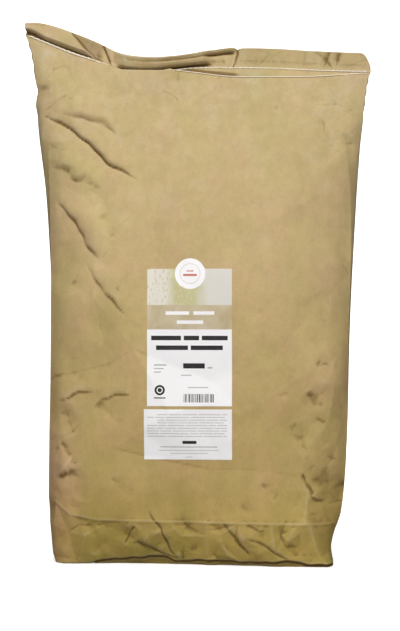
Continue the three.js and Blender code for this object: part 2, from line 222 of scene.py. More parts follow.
# Kind, height at the start and at the end, width, depth of the sharp line at the start and at the
# end, and the line of x and z that the fold follows. A tuck swells above its line and turns under
# to it, a dent is sunk, a ridge is raised, and a cheek falls away on the right of its line.
FRONT_FOLDS = [
    # The long tuck that falls from the left shoulder, and the softer folds around it
    ("tuck", 3.0, 8.0, 12, 2.6, 2.2, [
        (-290, 712), (-273, 697), (-256, 683), (-240, 670), (-221, 656), (-198, 643), (-170, 624),
        (-151, 608), (-134, 587), (-117, 575), (-101, 567), (-80, 557),
    ]),
    ("tuck", 7.5, 8.0, 15, 0.0, 0.0, [
        (-216, 657), (-192, 654), (-166, 650), (-144, 642), (-124, 629), (-108, 614),
    ]),
    ("tuck", 6.0, 4.0, 9, 1.6, 0.5, [(-252, 706), (-236, 699), (-222, 697), (-208, 703)]),
    ("dent", 3.0, 2.6, 6, 0, 0, EAR_ARCH),
    ("dent", 2.4, 1.5, 9, 0, 0, [(-205, 706), (-190, 690), (-180, 678)]),
    ("tuck", 1.0, 1.8, 7, 0.3, 0.6, [(-66, 707), (-50, 697), (-34, 683), (-24, 672)]),
    ("tuck", 3.6, 4.4, 15, 0.0, 0.0, [(-216, 580), (-198, 577), (-184, 568), (-174, 552)]),
    ("tuck", 4.4, 3.6, 15, 0.0, 0.0, [(-190, 562), (-160, 551), (-132, 543)]),
    ("dent", 2.6, 1.6, 13, 0, 0, [(-152, 546), (-140, 528), (-128, 512)]),
    ("tuck", 4.0, 7.5, 17, 0.7, 0.5, [
        (-207, 533), (-191, 516), (-174, 496), (-162, 475), (-150, 456), (-133, 442),
    ]),
    ("dent", 2.2, 1.6, 10, 0, 0, [(-134, 508), (-126, 490), (-118, 470)]),
    ("tuck", 2.4, 3.6, 12, 0.3, 0.3, [(-160, 440), (-145, 417), (-130, 400), (-115, 383), (-96, 356)]),
    ("dent", 2.0, 1.5, 9, 0, 0, [(-180, 414), (-163, 399), (-148, 383)]),
    ("dent", 2.2, 1.4, 14, 0, 0, [(-196, 470), (-190, 430), (-180, 392)]),
    # Low on the left, where the flour has settled
    ("tuck", 2.0, 1.4, 8, 0.3, 0.2, [(-208, 236), (-184, 241), (-177, 246), (-160, 251), (-138, 254)]),
    ("tuck", 1.4, 2.0, 9, 0.1, 0.4, [(-141, 240), (-127, 243), (-105, 248), (-90, 247)]),
    ("dent", 2.6, 1.4, 9, 0, 0, [(-143, 238), (-122, 223), (-98, 204)]),
    ("ridge", 1.8, 2.4, 7, 0, 0, [(-203, 183), (-196, 151), (-191, 125)]),
    ("dent", 2.6, 2.6, 14, 0, 0, [(-182, 140), (-170, 118), (-166, 90)]),
    ("dent", 2.2, 2.2, 8, 0, 0, [(-196, 176), (-182, 160), (-176, 142)]),
    ("ridge", 2.0, 3.6, 9, 0, 0, [(-176, 84), (-184, 58), (-187, 30), (-188, 8)]),
    # The right side
    ("tuck", 1.6, 1.6, 8, 0.4, 0.4, [(212, 438), (218, 424), (228, 402)]),
    ("dent", 1.6, 1.2, 7, 0, 0, [(176, 296), (184, 290), (200, 282)]),
    ("dent", 2.0, 1.6, 8, 0, 0, [(163, 252), (174, 242), (188, 230)]),
    ("ridge", 1.6, 2.0, 10, 0, 0, [(128, 248), (138, 222), (155, 186)]),
    ("dent", 1.6, 2.0, 9, 0, 0, [(142, 208), (150, 188), (163, 164)]),
    ("dent", 2.6, 2.8, 7, 0.8, 0.8, [(155, 138), (160, 122), (170, 104)]),
    ("cheek", 3.5, 3.5, 12, 0, 0, CHEEK_LINE),
    ("tuck", 3.0, 3.0, 10, 0.6, 0.6, [(162, 112), (169, 101), (178, 95), (188, 93)]),
    ("dent", 1.7, 1.7, 7, 0, 0, [(118, 692), (118, 676), (119, 656)]),
    ("dent", 1.3, 1.3, 6, 0, 0, [(145, 698), (145, 684)]),
    ("dent", 1.6, 1.2, 12, 0, 0, [(180, 648), (196, 622), (216, 600)]),
    ("dent", 1.4, 1.4, 16, 0, 0, [(90, 640), (120, 600), (130, 540)]),
    # On the lowest part of the front, under the crease of the base
    ("tuck", 1.4, 3.6, 7, 0.9, 1.5, [(-68, 84), (-60, 70), (-50, 56), (-44, 44), (-36, 28), (-22, 4)]),
    ("ridge", 2.2, 2.4, 6, 0, 0, [(-48, 54), (-60, 42), (-74, 28)]),
    ("dent", 3.2, 2.6, 8, 0.6, 0.6, [(-84, 58), (-92, 46), (-101, 30)]),
    ("tuck", 2.4, 3.0, 8, 0.6, 0.8, [(-94, 30), (-76, 34), (-58, 26), (-40, 14), (-20, 8)]),
    ("ridge", 2.2, 2.2, 7, 0, 0, [(-98, 60), (-80, 50), (-64, 40)]),
    ("tuck", 1.4, 3.2, 8, 0.4, 1.2, [(38, 72), (54, 52), (66, 34), (80, 16)]),
    ("tuck", 1.4, 2.6, 7, 0.6, 1.0, [(72, 44), (96, 34), (116, 22), (142, 6)]),
    ("dent", 2.0, 2.4, 9, 0, 0, [(66, 90), (84, 66), (106, 34)]),
    ("dent", 2.6, 2.6, 8, 0, 0, [(-154, 60), (-142, 40), (-146, 14)]),
    ("ridge", 1.8, 2.2, 8, 0, 0, [(-128, 58), (-136, 34), (-126, 10)]),
    ("dent", 2.0, 2.4, 9, 0, 0, [(120, 62), (134, 40), (150, 16)]),
    ("dent", 2.0, 1.6, 7, 0, 0, [(-12, 60), (4, 40), (-2, 20)]),
    ("dent", 1.8, 1.4, 8, 0, 0, [(95, 122), (112, 112), (122, 96)]),
    ("dent", 1.6, 1.4, 9, 0, 0, [(-120, 128), (-104, 112), (-84, 104)]),
]
BACK_FOLDS = [
    ("tuck", 2.0, 6.0, 14, 1.6, 2.4, [
        (215, 604), (190, 588), (160, 560), (128, 526), (110, 500), (80, 470),
    ]),
    ("tuck", 2.0, 5.0, 13, 1.6, 1.6, [(-220, 618), (-196, 602), (-170, 590), (-120, 548)]),
    ("tuck", 2.0, 3.5, 12, 0.8, 1.2, [(206, 312), (176, 292), (150, 270), (114, 260)]),
    ("tuck", 1.6, 3.0, 10, 1.2, 1.4, [(-92, 76), (-60, 40), (-38, 8)]),
    ("dent", 2.0, 2.4, 11, 0, 0, [(218, 640), (180, 652), (146, 640)]),
    ("tuck", 2.0, 4.0, 11, 1.0, 1.4, [(-216, 432), (-190, 410), (-166, 370)]),
    ("dent", 2.0, 2.0, 10, 0, 0, [(-208, 240), (-180, 232), (-148, 204)]),
    ("ridge", 2.0, 2.0, 9, 0, 0, [(206, 190), (196, 150), (190, 118)]),
    ("dent", 2.2, 2.2, 9, 0, 0, [(60, 74), (72, 46), (64, 10)]),
    ("dent", 1.8, 1.8, 9, 0, 0, [(24, 704), (34, 676), (28, 646)]),
    ("dent", 1.8, 1.8, 9, 0, 0, [(-130, 712), (-120, 684), (-132, 656)]),
    ("tuck", 1.6, 3.0, 11, 0.8, 1.0, [(200, 462), (176, 440), (160, 408)]),
]


def ease(low, high, value):
    """Rises smoothly from 0 to 1 as the value goes from low to high."""
    share = np.clip((np.asarray(value, float) - low) / (high - low), 0, 1)
    return share * share * (3 - 2 * share)


def between(value, start, full, falls, end):
    """Rises from 0 to 1 from start to full and goes back to 0 from falls to end."""
    return ease(start, full, value) * (1 - ease(falls, end, value))


def bell(away, width):
    """1 in the middle, dying out on both sides."""
    return np.exp(-((away / width) ** 2))


def fading(distance, length):
    """1 at no distance, dying out over a few times the length."""
    return np.exp(-distance / length)


def through(pairs, place):
    """The value at each place on a smooth curve through pairs of place and value."""
    xs, values = np.array(pairs, float).T
    place = np.clip(np.asarray(place, float), xs[0], xs[-1])
    k = np.clip(np.searchsorted(xs, place) - 1, 0, len(xs) - 2)
    before, after = np.maximum(k - 1, 0), np.minimum(k + 2, len(xs) - 1)
    slope_start = (values[k + 1] - values[before]) / (xs[k + 1] - xs[before])
    slope_end = (values[after] - values[k]) / (xs[after] - xs[k])
    step = xs[k + 1] - xs[k]
    s = (place - xs[k]) / step
    bend = s * (1 - s) ** 2 * step * slope_start + s * s * (s - 1) * step * slope_end
    return values[k] + (values[k + 1] - values[k]) * s * s * (3 - 2 * s) + bend


def smoothed(line):
    """The line with its corners rounded."""
    line = np.array(line, float)
    for _ in range(2):
        quarter, rest = line[:-1] * 0.75 + line[1:] * 0.25, line[:-1] * 0.25 + line[1:] * 0.75
        line = np.vstack([line[:1], np.stack([quarter, rest], 1).reshape(-1, 2), line[-1:]])
    return line


def nearest(line, x, z):
    """Distance of points from a line of points, on which side they lie, and how far along it."""
    line = np.array(line, float)
    rightward = 1 if line[-1][0] >= line[0][0] else -1
    best = np.full(np.shape(x), np.inf)
    side = np.ones(np.shape(x))
    along = np.zeros(np.shape(x))
    for i, (a, b) in enumerate(zip(line[:-1], line[1:])):
        d = b - a
        share = np.clip(((x - a[0]) * d[0] + (z - a[1]) * d[1]) / (d @ d), 0, 1)
        dx, dz = x - a[0] - share * d[0], z - a[1] - share * d[1]
        distance = np.hypot(dx, dz)
        turn = np.where((d[0] * dz - d[1] * dx) * rightward < 0, -1, 1)
        closer = distance < best
        best = np.where(closer, distance, best)
        side = np.where(closer, turn, side)
        along = np.where(closer, (i + share) / (len(line) - 1), along)
    return best, side, along


def past_cheek(x, z):
    """How far points lie to the right of the line of the cheek."""
    places, levels = np.array(CHEEK_LINE, float)[::-1].T
    return x - np.interp(z, levels, places)


def fold_height(fold, x, z):
    """How far a fold moves the paper out of its surface."""
    kind, start, end, width, sharp_start, sharp_end, line = fold
    if kind == "cheek":
        away = past_cheek(x, z)
        fade = ease(CHEEK_TOP + 30, CHEEK_TOP - 40, z)
        fall = np.where(away > 0, -0.34 * away * fading(away, 60), 0.0)
        return fade * (fall + start * fading(np.sqrt(away**2 + 4) - 2, width))
    line = smoothed(line)
    distance, side, along = nearest(line, x, z)
    step = 2
    if sharp_start + sharp_end == 0:  # it turns under softly
        distance = np.sqrt(distance**2 + (0.4 * width) ** 2) - 0.4 * width
        step = width
    reach = np.hypot(*(line[-1] - line[0]))
    fade = ease(0, 0.35, along) * ease(0, 0.3, 1 - along)
    sharp = (sharp_start + (sharp_end - sharp_start) * along) * fade * bell(distance, 1.5)
    ends = np.clip(1.3 * width / reach, 0.3, 0.5) + 1.1 * distance / reach
    rise = (start + (end - start) * along) * ease(0, ends, along) * ease(0, ends, 1 - along)
    if kind == "tuck":  # the paper above the line comes forward and turns under to it
        above = (1 - fading(distance, 0.75 * width)) * fading(distance, 3 * width)
        below = fading(distance, width) * ease(0, step, distance)
        return rise * np.where(side > 0, 2.0 * above, -0.2 * below) - sharp
    soft = fading(np.sqrt(distance**2 + 1.5) - 1.2, width)
    return rise * soft * (-1 if kind == "dent" else 1) - sharp


def crumple(draw, x, z, count, zones, length, width, rise):
    """Short sharp creases of the paper, strewn over zones of x, z, spread across and spread up."""
    height = np.zeros(np.shape(x))
    for _ in range(count):
        zone = zones[draw.integers(len(zones))]
        cx, cz = draw.normal(zone[0], zone[2]), draw.normal(zone[1], zone[3])
        turn = draw.uniform(0, pi)
        half = draw.uniform(*length) / 2
        wide = draw.uniform(*width)
        size = draw.uniform(*rise) * draw.choice([-1, 1])
        skew = draw.uniform(-0.5, 0.5)
        along = ((x - cx) * cos(turn) + (z - cz) * sin(turn)) / half
        across = (-(x - cx) * sin(turn) + (z - cz) * cos(turn)) / wide
        across = across - 0.35 * (1 - along * along)
        slant = np.sqrt(across**2 + 0.02) * np.where(across > 0, 1 + skew, 1 - skew)
        tent = np.clip(1 - slant, 0, 1)
        height += size * tent * tent * (2.2 - 1.2 * tent) * np.clip(1 - along * along, 0, 1) ** 1.5
    return height


def creased(draw, x, z, spacing, rise):
    """Flat facets that meet in sharp creases: planes laid over random points of random height."""
    across, up = np.meshgrid(np.arange(-300, 300 + spacing, spacing), np.arange(-40, 860, spacing))
    across = (across + draw.uniform(-0.46, 0.46, across.shape) * spacing).ravel()
    up = (up + draw.uniform(-0.46, 0.46, up.shape) * spacing).ravel()
    out = draw.normal(0, rise, across.shape)
    corners = [Vector((a, b)) for a, b in zip(across, up)]
    flat, _, faces, origin, _, _ = delaunay_2d_cdt(corners, [], [], 0, 1e-5)
    raised = [(v.x, v.y, float(out[source[0]])) for v, source in zip(flat, origin)]
    planes = BVHTree.FromPolygons(raised, faces)
    down = Vector((0, 0, -1))
    hits = [planes.ray_cast(Vector((a, b, 50)), down)[0] for a, b in zip(x.tolist(), z.tolist())]
    return np.array([hit.z if hit else 0.0 for hit in hits])


def facets(draw, x, z, cell, rise):
    """Large flat facets that meet in soft creases, as in handled paper."""
    total = np.zeros(np.shape(x))
    for _ in range(5):
        turn = draw.uniform(0, pi)
        size = cell * draw.uniform(0.7, 1.5)
        phase = draw.uniform(0, 1)
        warp = 0.35 * np.sin((x * sin(turn) - z * cos(turn)) / size * 1.7 + draw.uniform(0, 2 * pi))
        wave = (x * cos(turn) + z * sin(turn)) / size + phase + warp
        total += np.sqrt(((wave % 2) - 1) ** 2 + 0.01) - 0.5
    return total * rise / 2


def tube_curve(height):
    """The cross-section at a height from the middle of its left side, and its two pressed edges."""
    turn = np.cos(np.linspace(0, pi, 1201))
    across = -np.sign(turn) * np.abs(turn) ** 0.8
    out = (1 - np.abs(across) ** through(SQUARENESS, height)) ** (1 / through(BLUNTNESS, height))
    left, right = through(LEFT_OUTLINE, height), through(RIGHT_OUTLINE, height)
    x = left + (right - left) * (across + 1) / 2
    y = through(DEPTH, height) * out
    x, y = np.concatenate([x, x[-2::-1]]), np.concatenate([-y, y[-2::-1]])
    length = np.concatenate([[0], np.cumsum(np.hypot(np.diff(x), np.diff(y)))])
    edge = min(PRESSED_EDGE, 0.35 * float(through(DEPTH, height)))
    quarter = len(turn) // 4
    last = slice(len(turn) - 1, len(turn) - quarter, -1)
    left_edge = np.interp(edge, -y[:quarter], length[:quarter])
    right_edge = np.interp(edge, -y[last], length[last])
    return x, y, length, left_edge, right_edge


def panel_points(columns, heights, front):
    """Points of the front or the back panel between the pressed edges, evenly spread or finer left."""
    shares = np.linspace(0, 1, 1001)
    density = np.where(front, 1.35 - 0.55 * ease(0.36, 0.5, shares) + 0.3 * ease(0.85, 1, shares), 1.0)
    spread = np.concatenate([[0], np.cumsum((density[1:] + density[:-1]) / 2)])
    spread = np.interp(np.linspace(0, 1, columns + 1), spread / spread[-1], shares)
    xs, ys = [], []
    for height in heights:
        x, y, length, left_edge, right_edge = tube_curve(height)
        x, y = np.concatenate([x, x[1:]]), np.concatenate([y, y[1:]])
        length = np.concatenate([length, length[-1] + length[1:]])
        start, end = (left_edge, right_edge) if front else (right_edge, length[-1] / 2 + left_edge)
        at = start + (end - start) * spread
        xs.append(np.interp(at, length, x))
        ys.append(np.interp(at, length, y))
    return np.array(xs), np.array(ys)


def seam_height(x):
    return through(SEAM_LINE, x)


def seam_depth(x):
    return through(SEAM_DEPTH, x)


def gap_line(x):
    """How high the gap over the turned-in foot of the front lies."""
    rough = 0.8 * np.sin(x / 7.3 + 1) + 0.6 * np.sin(x / 3.9) + 0.9 * np.sin(x / 17 + 2)
    return GAP_HEIGHT + through(GAP_WANDER, x) + 0.7 * rough


def paper_point(height, x, depth, relief):
    """Where the paper lies below the seam. Depth is below 0 on the front and above 0 on the back."""
    share = height / SEAM_HEIGHT
    rise = ease(FOLLOWS_SEAM, 1, share)
    flat = ease(0, np.minimum(FOLDS_FADE, 0.45 * through(DEPTH, height)), np.abs(depth))
    base_z = height + rise * (seam_height(x) - SEAM_HEIGHT)
    forward = FOOT_FORWARD * ease(-60, 100, x) * (1 - ease(0, 100, height))
    front = depth < 0
    crease = nearest(BASE_CREASE, x, base_z)[0]
    above_gap = base_z - gap_line(x)
    gap = GAP_DEPTH * bell(above_gap, 1.4) + FOOT_BACK * (1 - ease(-1.4, 0.4, above_gap))
    window = between(x, *ROLL_SPAN)
    lift = np.maximum(ROLL_TOP - seam_height(x), 2.6) + 6
    roll = window * between(height, 686, 714, 714, 720)
    pressed = CREASE_SWELL * fading(crease, 16) + CREASE_EDGE * bell(crease, 1.6) - flat * gap
    out = relief * flat + np.where(front, pressed, 0)
    out = out + np.where(front, ROLL_OUT * window * between(height, 680, 710, 713, 720), 0)
    y = depth + rise * seam_depth(x) - forward + np.where(front, -out, out)
    z = base_z + np.where(front, lift * roll, 0)
    outer = 1 - ease(NEAR_EDGE, 62, np.abs(depth))
    beside = fading(np.abs(depth + PRESSED_EDGE), 6) * outer
    upright = between(z, 20, 100, 600, 680)
    nipped = 3.0 * bell(z - 694, 9) - 1.5 * bell(z - 672, 8)
    x = x + nipped * outer * ease(-200, -236, x)
    return x + np.sign(x) * 2.4 * beside * upright, y, z


def new_grid(name, columns, rows):
    """A grid primitive to be shaped, and for each of its points the column and the row."""
    bpy.ops.object.select_all(action="DESELECT")
    bpy.ops.mesh.primitive_grid_add(x_subdivisions=columns, y_subdivisions=rows, size=1)
    piece = bpy.context.object
    piece.name = piece.data.name = name
    co = coordinates(piece)
    across = np.rint((co[:, 0] + 0.5) * columns).astype(int)
    up = np.rint((co[:, 1] + 0.5) * rows).astype(int)
    return piece, across, up


def coordinates(piece):
    co = np.empty(len(piece.data.vertices) * 3)
    piece.data.vertices.foreach_get("co", co)
    return co.reshape(-1, 3)


def place_points(piece, x, y, z):
    co = np.stack([x, y, z], axis=1) * MILLIMETRE
    piece.data.vertices.foreach_set("co", co.ravel())
    piece.data.update()


def face_outwards():
    """Turns the faces of the active mesh outwards."""
    bpy.ops.object.mode_set(mode="EDIT")
    bpy.ops.mesh.select_all(action="SELECT")
    bpy.ops.mesh.normals_make_consistent(inside=False)
    bpy.ops.object.mode_set(mode="OBJECT")


def keep_values(piece, name, values):
    """Keeps one number for each point of a piece, for its material to read."""
    kept = piece.data.attributes.get(name) or piece.data.attributes.new(name, "FLOAT", "POINT")
    kept.data.foreach_set("value", np.asarray(values).astype(np.float32))


def kept_values(piece, name):
    values = np.zeros(len(piece.data.vertices))
    if name in piece.data.attributes:
        piece.data.attributes[name].data.foreach_get("value", values)
    return values


CRUMPLED = [  # where the paper is handled most: x, z and how far it spreads
    (-205, 680, 18, 26), (-185, 600, 26, 40), (-165, 500, 24, 46), (-185, 250, 18, 60),
    (-195, 120, 14, 50), (175, 250, 20, 60), (185, 130, 16, 40), (185, 45, 14, 22),
    (0, 30, 130, 16), (-60, 40, 60, 16), (90, 45, 50, 16), (205, 640, 22, 40), (130, 690, 80, 14),
    (-60, 700, 60, 12), (-120, 400, 26, 50), (200, 420, 16, 90),
]
ALL_OVER = [(0, 380, 150, 220)]
heights = [0.0]
for low, high, step in ROW_BANDS:
    parts = int(round((high - low) / step))
    heights += [low + (high - low) * (i + 1) / parts for i in range(parts)]
heights = np.array(heights)


def relief_of(folds, seed, x, z):
    """How far the folds, creases and facets of one side move its paper outwards."""
    draw = np.random.default_rng(seed)
    turn_x = 1.3 * np.sin(z / 9.0 + x / 31) + 0.8 * np.sin(z / 4.3 - x / 12)
    turn_z = 1.3 * np.sin(x / 10.0 + z / 27) + 0.7 * np.sin(x / 4.7 + z / 11)
    relief = sum(fold_height(fold, x + turn_x, z + turn_z) for fold in folds)
    relief = relief + crumple(draw, x, z, 70, CRUMPLED, length=(30, 90), width=(9, 22), rise=(0.5, 1.5))
    relief = relief + crumple(draw, x, z, 30, ALL_OVER, length=(40, 120), width=(12, 30), rise=(0.3, 0.9))
    sides = ease(150, 200, np.abs(x))
    low_sides = sides * (1 - ease(180, 330, z))
    ears = sides * ease(560, 660, z)
    handled = np.clip(1 - ease(58, 76, z) + 0.8 * low_sides + 0.5 * ears + 0.25 * sides, 0, 1)
    relief = relief + creased(draw, x, z, spacing=17, rise=1.1) * handled
    relief = relief + creased(draw, x, z, spacing=36, rise=2.6) * np.clip(0.2 + handled, 0, 1)
    relief = relief + creased(draw, x, z, spacing=80, rise=2.6)
    outer = 0.25 + 0.75 * ease(90, 190, np.abs(x))
    return relief + facets(draw, x, z, cell=62, rise=1.4) * outer


def wall_panel(name, columns, front):
    panel, column, row = new_grid(name, columns, len(heights) - 1)
    xs, ys = panel_points(columns, heights, front)
    x, depth, height = xs[row, column], ys[row, column], heights[row]
    z = height + ease(FOLLOWS_SEAM, 1, height / SEAM_HEIGHT) * (seam_height(x) - SEAM_HEIGHT)
    behind = ease(-34, -6, depth)
    relief = np.zeros(len(x))
    for folds, seed, part in ((FRONT_FOLDS, 25, 1 - behind), (BACK_FOLDS, 26, behind)):
        here = part > 0
        relief[here] += relief_of(folds, seed, x[here], z[here]) * part[here]
    relief = relief * (1 - ease(0.975, 1, height / SEAM_HEIGHT))
    # Painted shade where folds turn the paper under so that it faces down, weaker low on the sack
    rows = np.zeros((2, len(heights), columns + 1))
    rows[:, row, column] = relief, z
    steepness = (np.gradient(rows[0], axis=0) / np.gradient(rows[1], axis=0))[row, column]
    turned_under_shade = ease(0.12, 0.5, steepness) * (0.4 + 0.6 * ease(70, 110, z))
    x, y, z = paper_point(height, x, depth, relief)
    z = np.where(height <= 0, BASE_LIFT, np.maximum(z, BASE_LIFT + 0.2 * height))
    place_points(panel, x, y, z)
    keep_values(panel, "shade", 0.38 * turned_under_shade)
    if not front:
        face_outwards()
    bpy.ops.object.shade_smooth()
    lowest = np.flatnonzero(row == 0)
    lowest = lowest[np.argsort(column[lowest])]
    return panel, np.stack([x, y, z], axis=1)[lowest]


front_panel, front_hem = wall_panel("front_panel", FRONT_COLUMNS, True)
back_panel, back_hem = wall_panel("back_panel", BACK_COLUMNS, False)

# Kraft paper: brown, with pale and dark fibres that run up the sack, a cloudy tone, a little flour
# dust on the upper part that also serves as painted sheen, and pale creases, partly worn and partly a
# painted highlight. Its colour is darker and more saturated low down and greyer high up, partly as
# painted shade and sheen, and painted shade darkens its hollows. The same paper makes every part of
# the sack.
def new_group(name, inputs, outputs):
    group = bpy.data.node_groups.new(name, "ShaderNodeTree")
    for label, kind, value in inputs:
        socket = group.interface.new_socket(label, in_out="INPUT", socket_type=kind)
        if value is not None:
            socket.default_value = value
    for label, kind in outputs:
        group.interface.new_socket(label, in_out="OUTPUT", socket_type=kind)
    return group, group.nodes.new("NodeGroupInput"), group.nodes.new("NodeGroupOutput")


def blend_colours(tree, mode, factor, first, second):
    node = add_node(tree, "Mix", data_type="RGBA", blend_type=mode)
    for socket, value in ((node.inputs[0], factor), (node.inputs[6], first), (node.inputs[7], second)):
        if isinstance(value, bpy.types.NodeSocket):
            tree.links.new(value, socket)
        elif isinstance(value, tuple):
            socket.default_value = (*value, 1)
        else:
            socket.default_value = value
    return node.outputs[2]


def stretched_noise(tree, vector, stretch, detail, roughness):
    mapping = add_node(tree, "Mapping")
    mapping.inputs["Scale"].default_value = stretch
    noise_node = add_node(tree, "TexNoise")
    noise_node.inputs["Scale"].default_value = 1.0
    noise_node.inputs["Detail"].default_value = detail
    noise_node.inputs["Roughness"].default_value = roughness
    tree.links.new(vector, mapping.inputs["Vector"])
    tree.links.new(mapping.outputs["Vector"], noise_node.inputs["Vector"])
    return noise_node.outputs[0]


def new_material(name):
    """A new material with its node tree, its shader and the object's own coordinates."""
    material = bpy.data.materials.new(name)
    material.use_nodes = True
    tree = material.node_tree
    return material, tree, tree.nodes["Principled BSDF"], add_node(tree, "TexCoord").outputs["Object"]


def shaded(tree, colour, shade):
    """The colour times a value that changes over the surface."""
    grey = add_node(tree, "CombineColor")
    for socket in grey.inputs[:3]:
        tree.links.new(shade, socket)
    return blend_colours(tree, "MULTIPLY", 1.0, colour, grey.outputs[0])


def ragged(tree, level, cloud, reach):
    """A level made uneven by a cloudy noise, by up to half the reach either way."""
    middle = calculate(tree, "SUBTRACT", level, reach / 2)
    return calculate(tree, "MULTIPLY_ADD", cloud, reach, middle)


def add_bump(tree, shader, height, strength, distance):
    bump = add_node(tree, "Bump", Strength=strength, Distance=distance)
    tree.links.new(height, bump.inputs["Height"])
    tree.links.new(bump.outputs["Normal"], shader.inputs["Normal"])


paper_group, paper_in, paper_out = new_group(
    "paper_fibres",
    [("Vector", "NodeSocketVector", None), ("Coarseness", "NodeSocketFloat", 1.0)],
    [("Tone", "NodeSocketFloat"), ("Cloud", "NodeSocketFloat"), ("Height", "NodeSocketFloat")],
)
where = paper_in.outputs["Vector"]
long_fibres = stretched_noise(paper_group, where, (1400, 1400, 160), 3, 0.6)
cross_fibres = stretched_noise(paper_group, where, (420, 420, 900), 2, 0.6)
pulp = stretched_noise(paper_group, where, (75, 75, 60), 5, 0.65)
cloud = stretched_noise(paper_group, where, (9, 9, 6), 4, 0.6)
fibre_tone = calculate(paper_group, "ADD", long_fibres, cross_fibres)
fibre_tone = calculate(paper_group, "MULTIPLY_ADD", fibre_tone, 0.5, -0.5)
pulp_tone = calculate(paper_group, "SUBTRACT", pulp, 0.5)
tone = calculate(paper_group, "MULTIPLY_ADD", pulp_tone, 0.8, fibre_tone)
tone = calculate(paper_group, "MULTIPLY", tone, paper_in.outputs["Coarseness"])
fine_height = calculate(paper_group, "MULTIPLY", long_fibres, 0.5)
height_sum = calculate(paper_group, "MULTIPLY_ADD", pulp, 2.0, fine_height)
height_sum = calculate(paper_group, "MULTIPLY", height_sum, paper_in.outputs["Coarseness"])
paper_group.links.new(tone, paper_out.inputs["Tone"])
paper_group.links.new(cloud, paper_out.inputs["Cloud"])
paper_group.links.new(height_sum, paper_out.inputs["Height"])

KRAFT_BASE = (0.385, 0.281, 0.066)
KRAFT_LOW = (0.485, 0.345, 0.125)
KRAFT_MIDDLE = (0.52, 0.386, 0.185)
KRAFT_TOP = (0.452, 0.350, 0.175)
KRAFT_GREENISH = (0.955, 0.985, 0.90)
KRAFT_ROSY = (1.0, 0.955, 1.0)
KRAFT_ROSIER = (1.07, 0.95, 1.42)
KRAFT_WORN_AND_HIGHLIT = (0.66, 0.56, 0.38)
KRAFT_PAINTED_SHADE = (0.165, 0.094, 0.022)
FLOUR_DUST_AND_SHEEN = (0.80, 0.77, 0.70)
kraft, tree, shader, place = new_material("kraft_paper")
shader.inputs["Roughness"].default_value = 0.72
shader.inputs["Specular IOR Level"].default_value = 0.35
fibres = add_node(tree, "Group", node_tree=paper_group)
tree.links.new(place, fibres.inputs["Vector"])
axes = add_node(tree, "SeparateXYZ")
tree.links.new(place, axes.inputs[0])
cloud = fibres.outputs["Cloud"]
# The colour changes with height: darker and more saturated towards the foot and greyer towards the top,
# partly as painted shade low down and painted sheen high up
level = ragged(tree, axes.outputs["Z"], cloud, 0.22)
low_level = ragged(tree, axes.outputs["Z"], cloud, 0.05)
paper_colour = blend_colours(tree, "MIX", span(tree, low_level, 0.04, 0.13, 0, 1), KRAFT_BASE, KRAFT_LOW)
paper_colour = blend_colours(tree, "MIX", span(tree, level, 0.10, 0.42, 0, 1), paper_colour, KRAFT_MIDDLE)
paper_colour = blend_colours(tree, "MIX", span(tree, level, 0.40, 0.78, 0, 1), paper_colour, KRAFT_TOP)
hue = stretched_noise(tree, place, (17, 17, 13), 3, 0.55)
hue_shade = blend_colours(tree, "MIX", span(tree, hue, 0.36, 0.64, 0, 1), KRAFT_GREENISH, KRAFT_ROSY)
paper_colour = blend_colours(tree, "MULTIPLY", 1.0, paper_colour, hue_shade)
low = span(tree, axes.outputs["Z"], 0.10, 0.24, 1, 0)
left_foot = calculate(tree, "MULTIPLY", low, span(tree, axes.outputs["X"], -0.20, -0.15, 1, 0))
paper_colour = blend_colours(tree, "MULTIPLY", left_foot, paper_colour, KRAFT_ROSIER)
cloud_shade = span(tree, cloud, 0.3, 0.7, 0.9, 1.08)
tone_shade = calculate(tree, "MULTIPLY_ADD", fibres.outputs["Tone"], 0.42, 1.0)
paper_colour = shaded(tree, paper_colour, calculate(tree, "MULTIPLY", cloud_shade, tone_shade))
# Convex creases are made paler: partly wear, partly a painted highlight
worn_and_highlit = add_node(tree, "Attribute", attribute_name="worn_and_highlit").outputs["Fac"]
worn_and_highlit = span(tree, worn_and_highlit, 0.15, 1.0, 0, 0.22)
paper_colour = blend_colours(tree, "MIX", worn_and_highlit, paper_colour, KRAFT_WORN_AND_HIGHLIT)
# Painted shade: hollows and the shade kept on each point darken the paper towards dark brown
hollow_and_painted_shade = add_node(tree, "Attribute", attribute_name="hollow_and_painted_shade").outputs["Fac"]
hollow_and_painted_shade = span(tree, hollow_and_painted_shade, 0.18, 1.0, 0, 0.94)
paper_colour = blend_colours(tree, "MIX", hollow_and_painted_shade, paper_colour, KRAFT_PAINTED_SHADE)
# Flour dust on the upper part, which also serves as painted sheen
dust_and_sheen = stretched_noise(tree, place, (26, 26, 26), 6, 0.7)
high = span(tree, axes.outputs["Z"], 0.35, 0.8, 0.1, 1)
dust_and_sheen = calculate(tree, "MULTIPLY", span(tree, dust_and_sheen, 0.5, 0.8, 0, 0.22), high)
paper_colour = blend_colours(tree, "MIX", dust_and_sheen, paper_colour, FLOUR_DUST_AND_SHEEN)
tree.links.new(paper_colour, shader.inputs["Base Color"])
crinkle = stretched_noise(tree, place, (130, 130, 130), 5, 0.6)
crinkled = calculate(tree, "MULTIPLY_ADD", crinkle, 1.6, fibres.outputs["Height"])
add_bump(tree, shader, crinkled, 0.35, 0.0006)


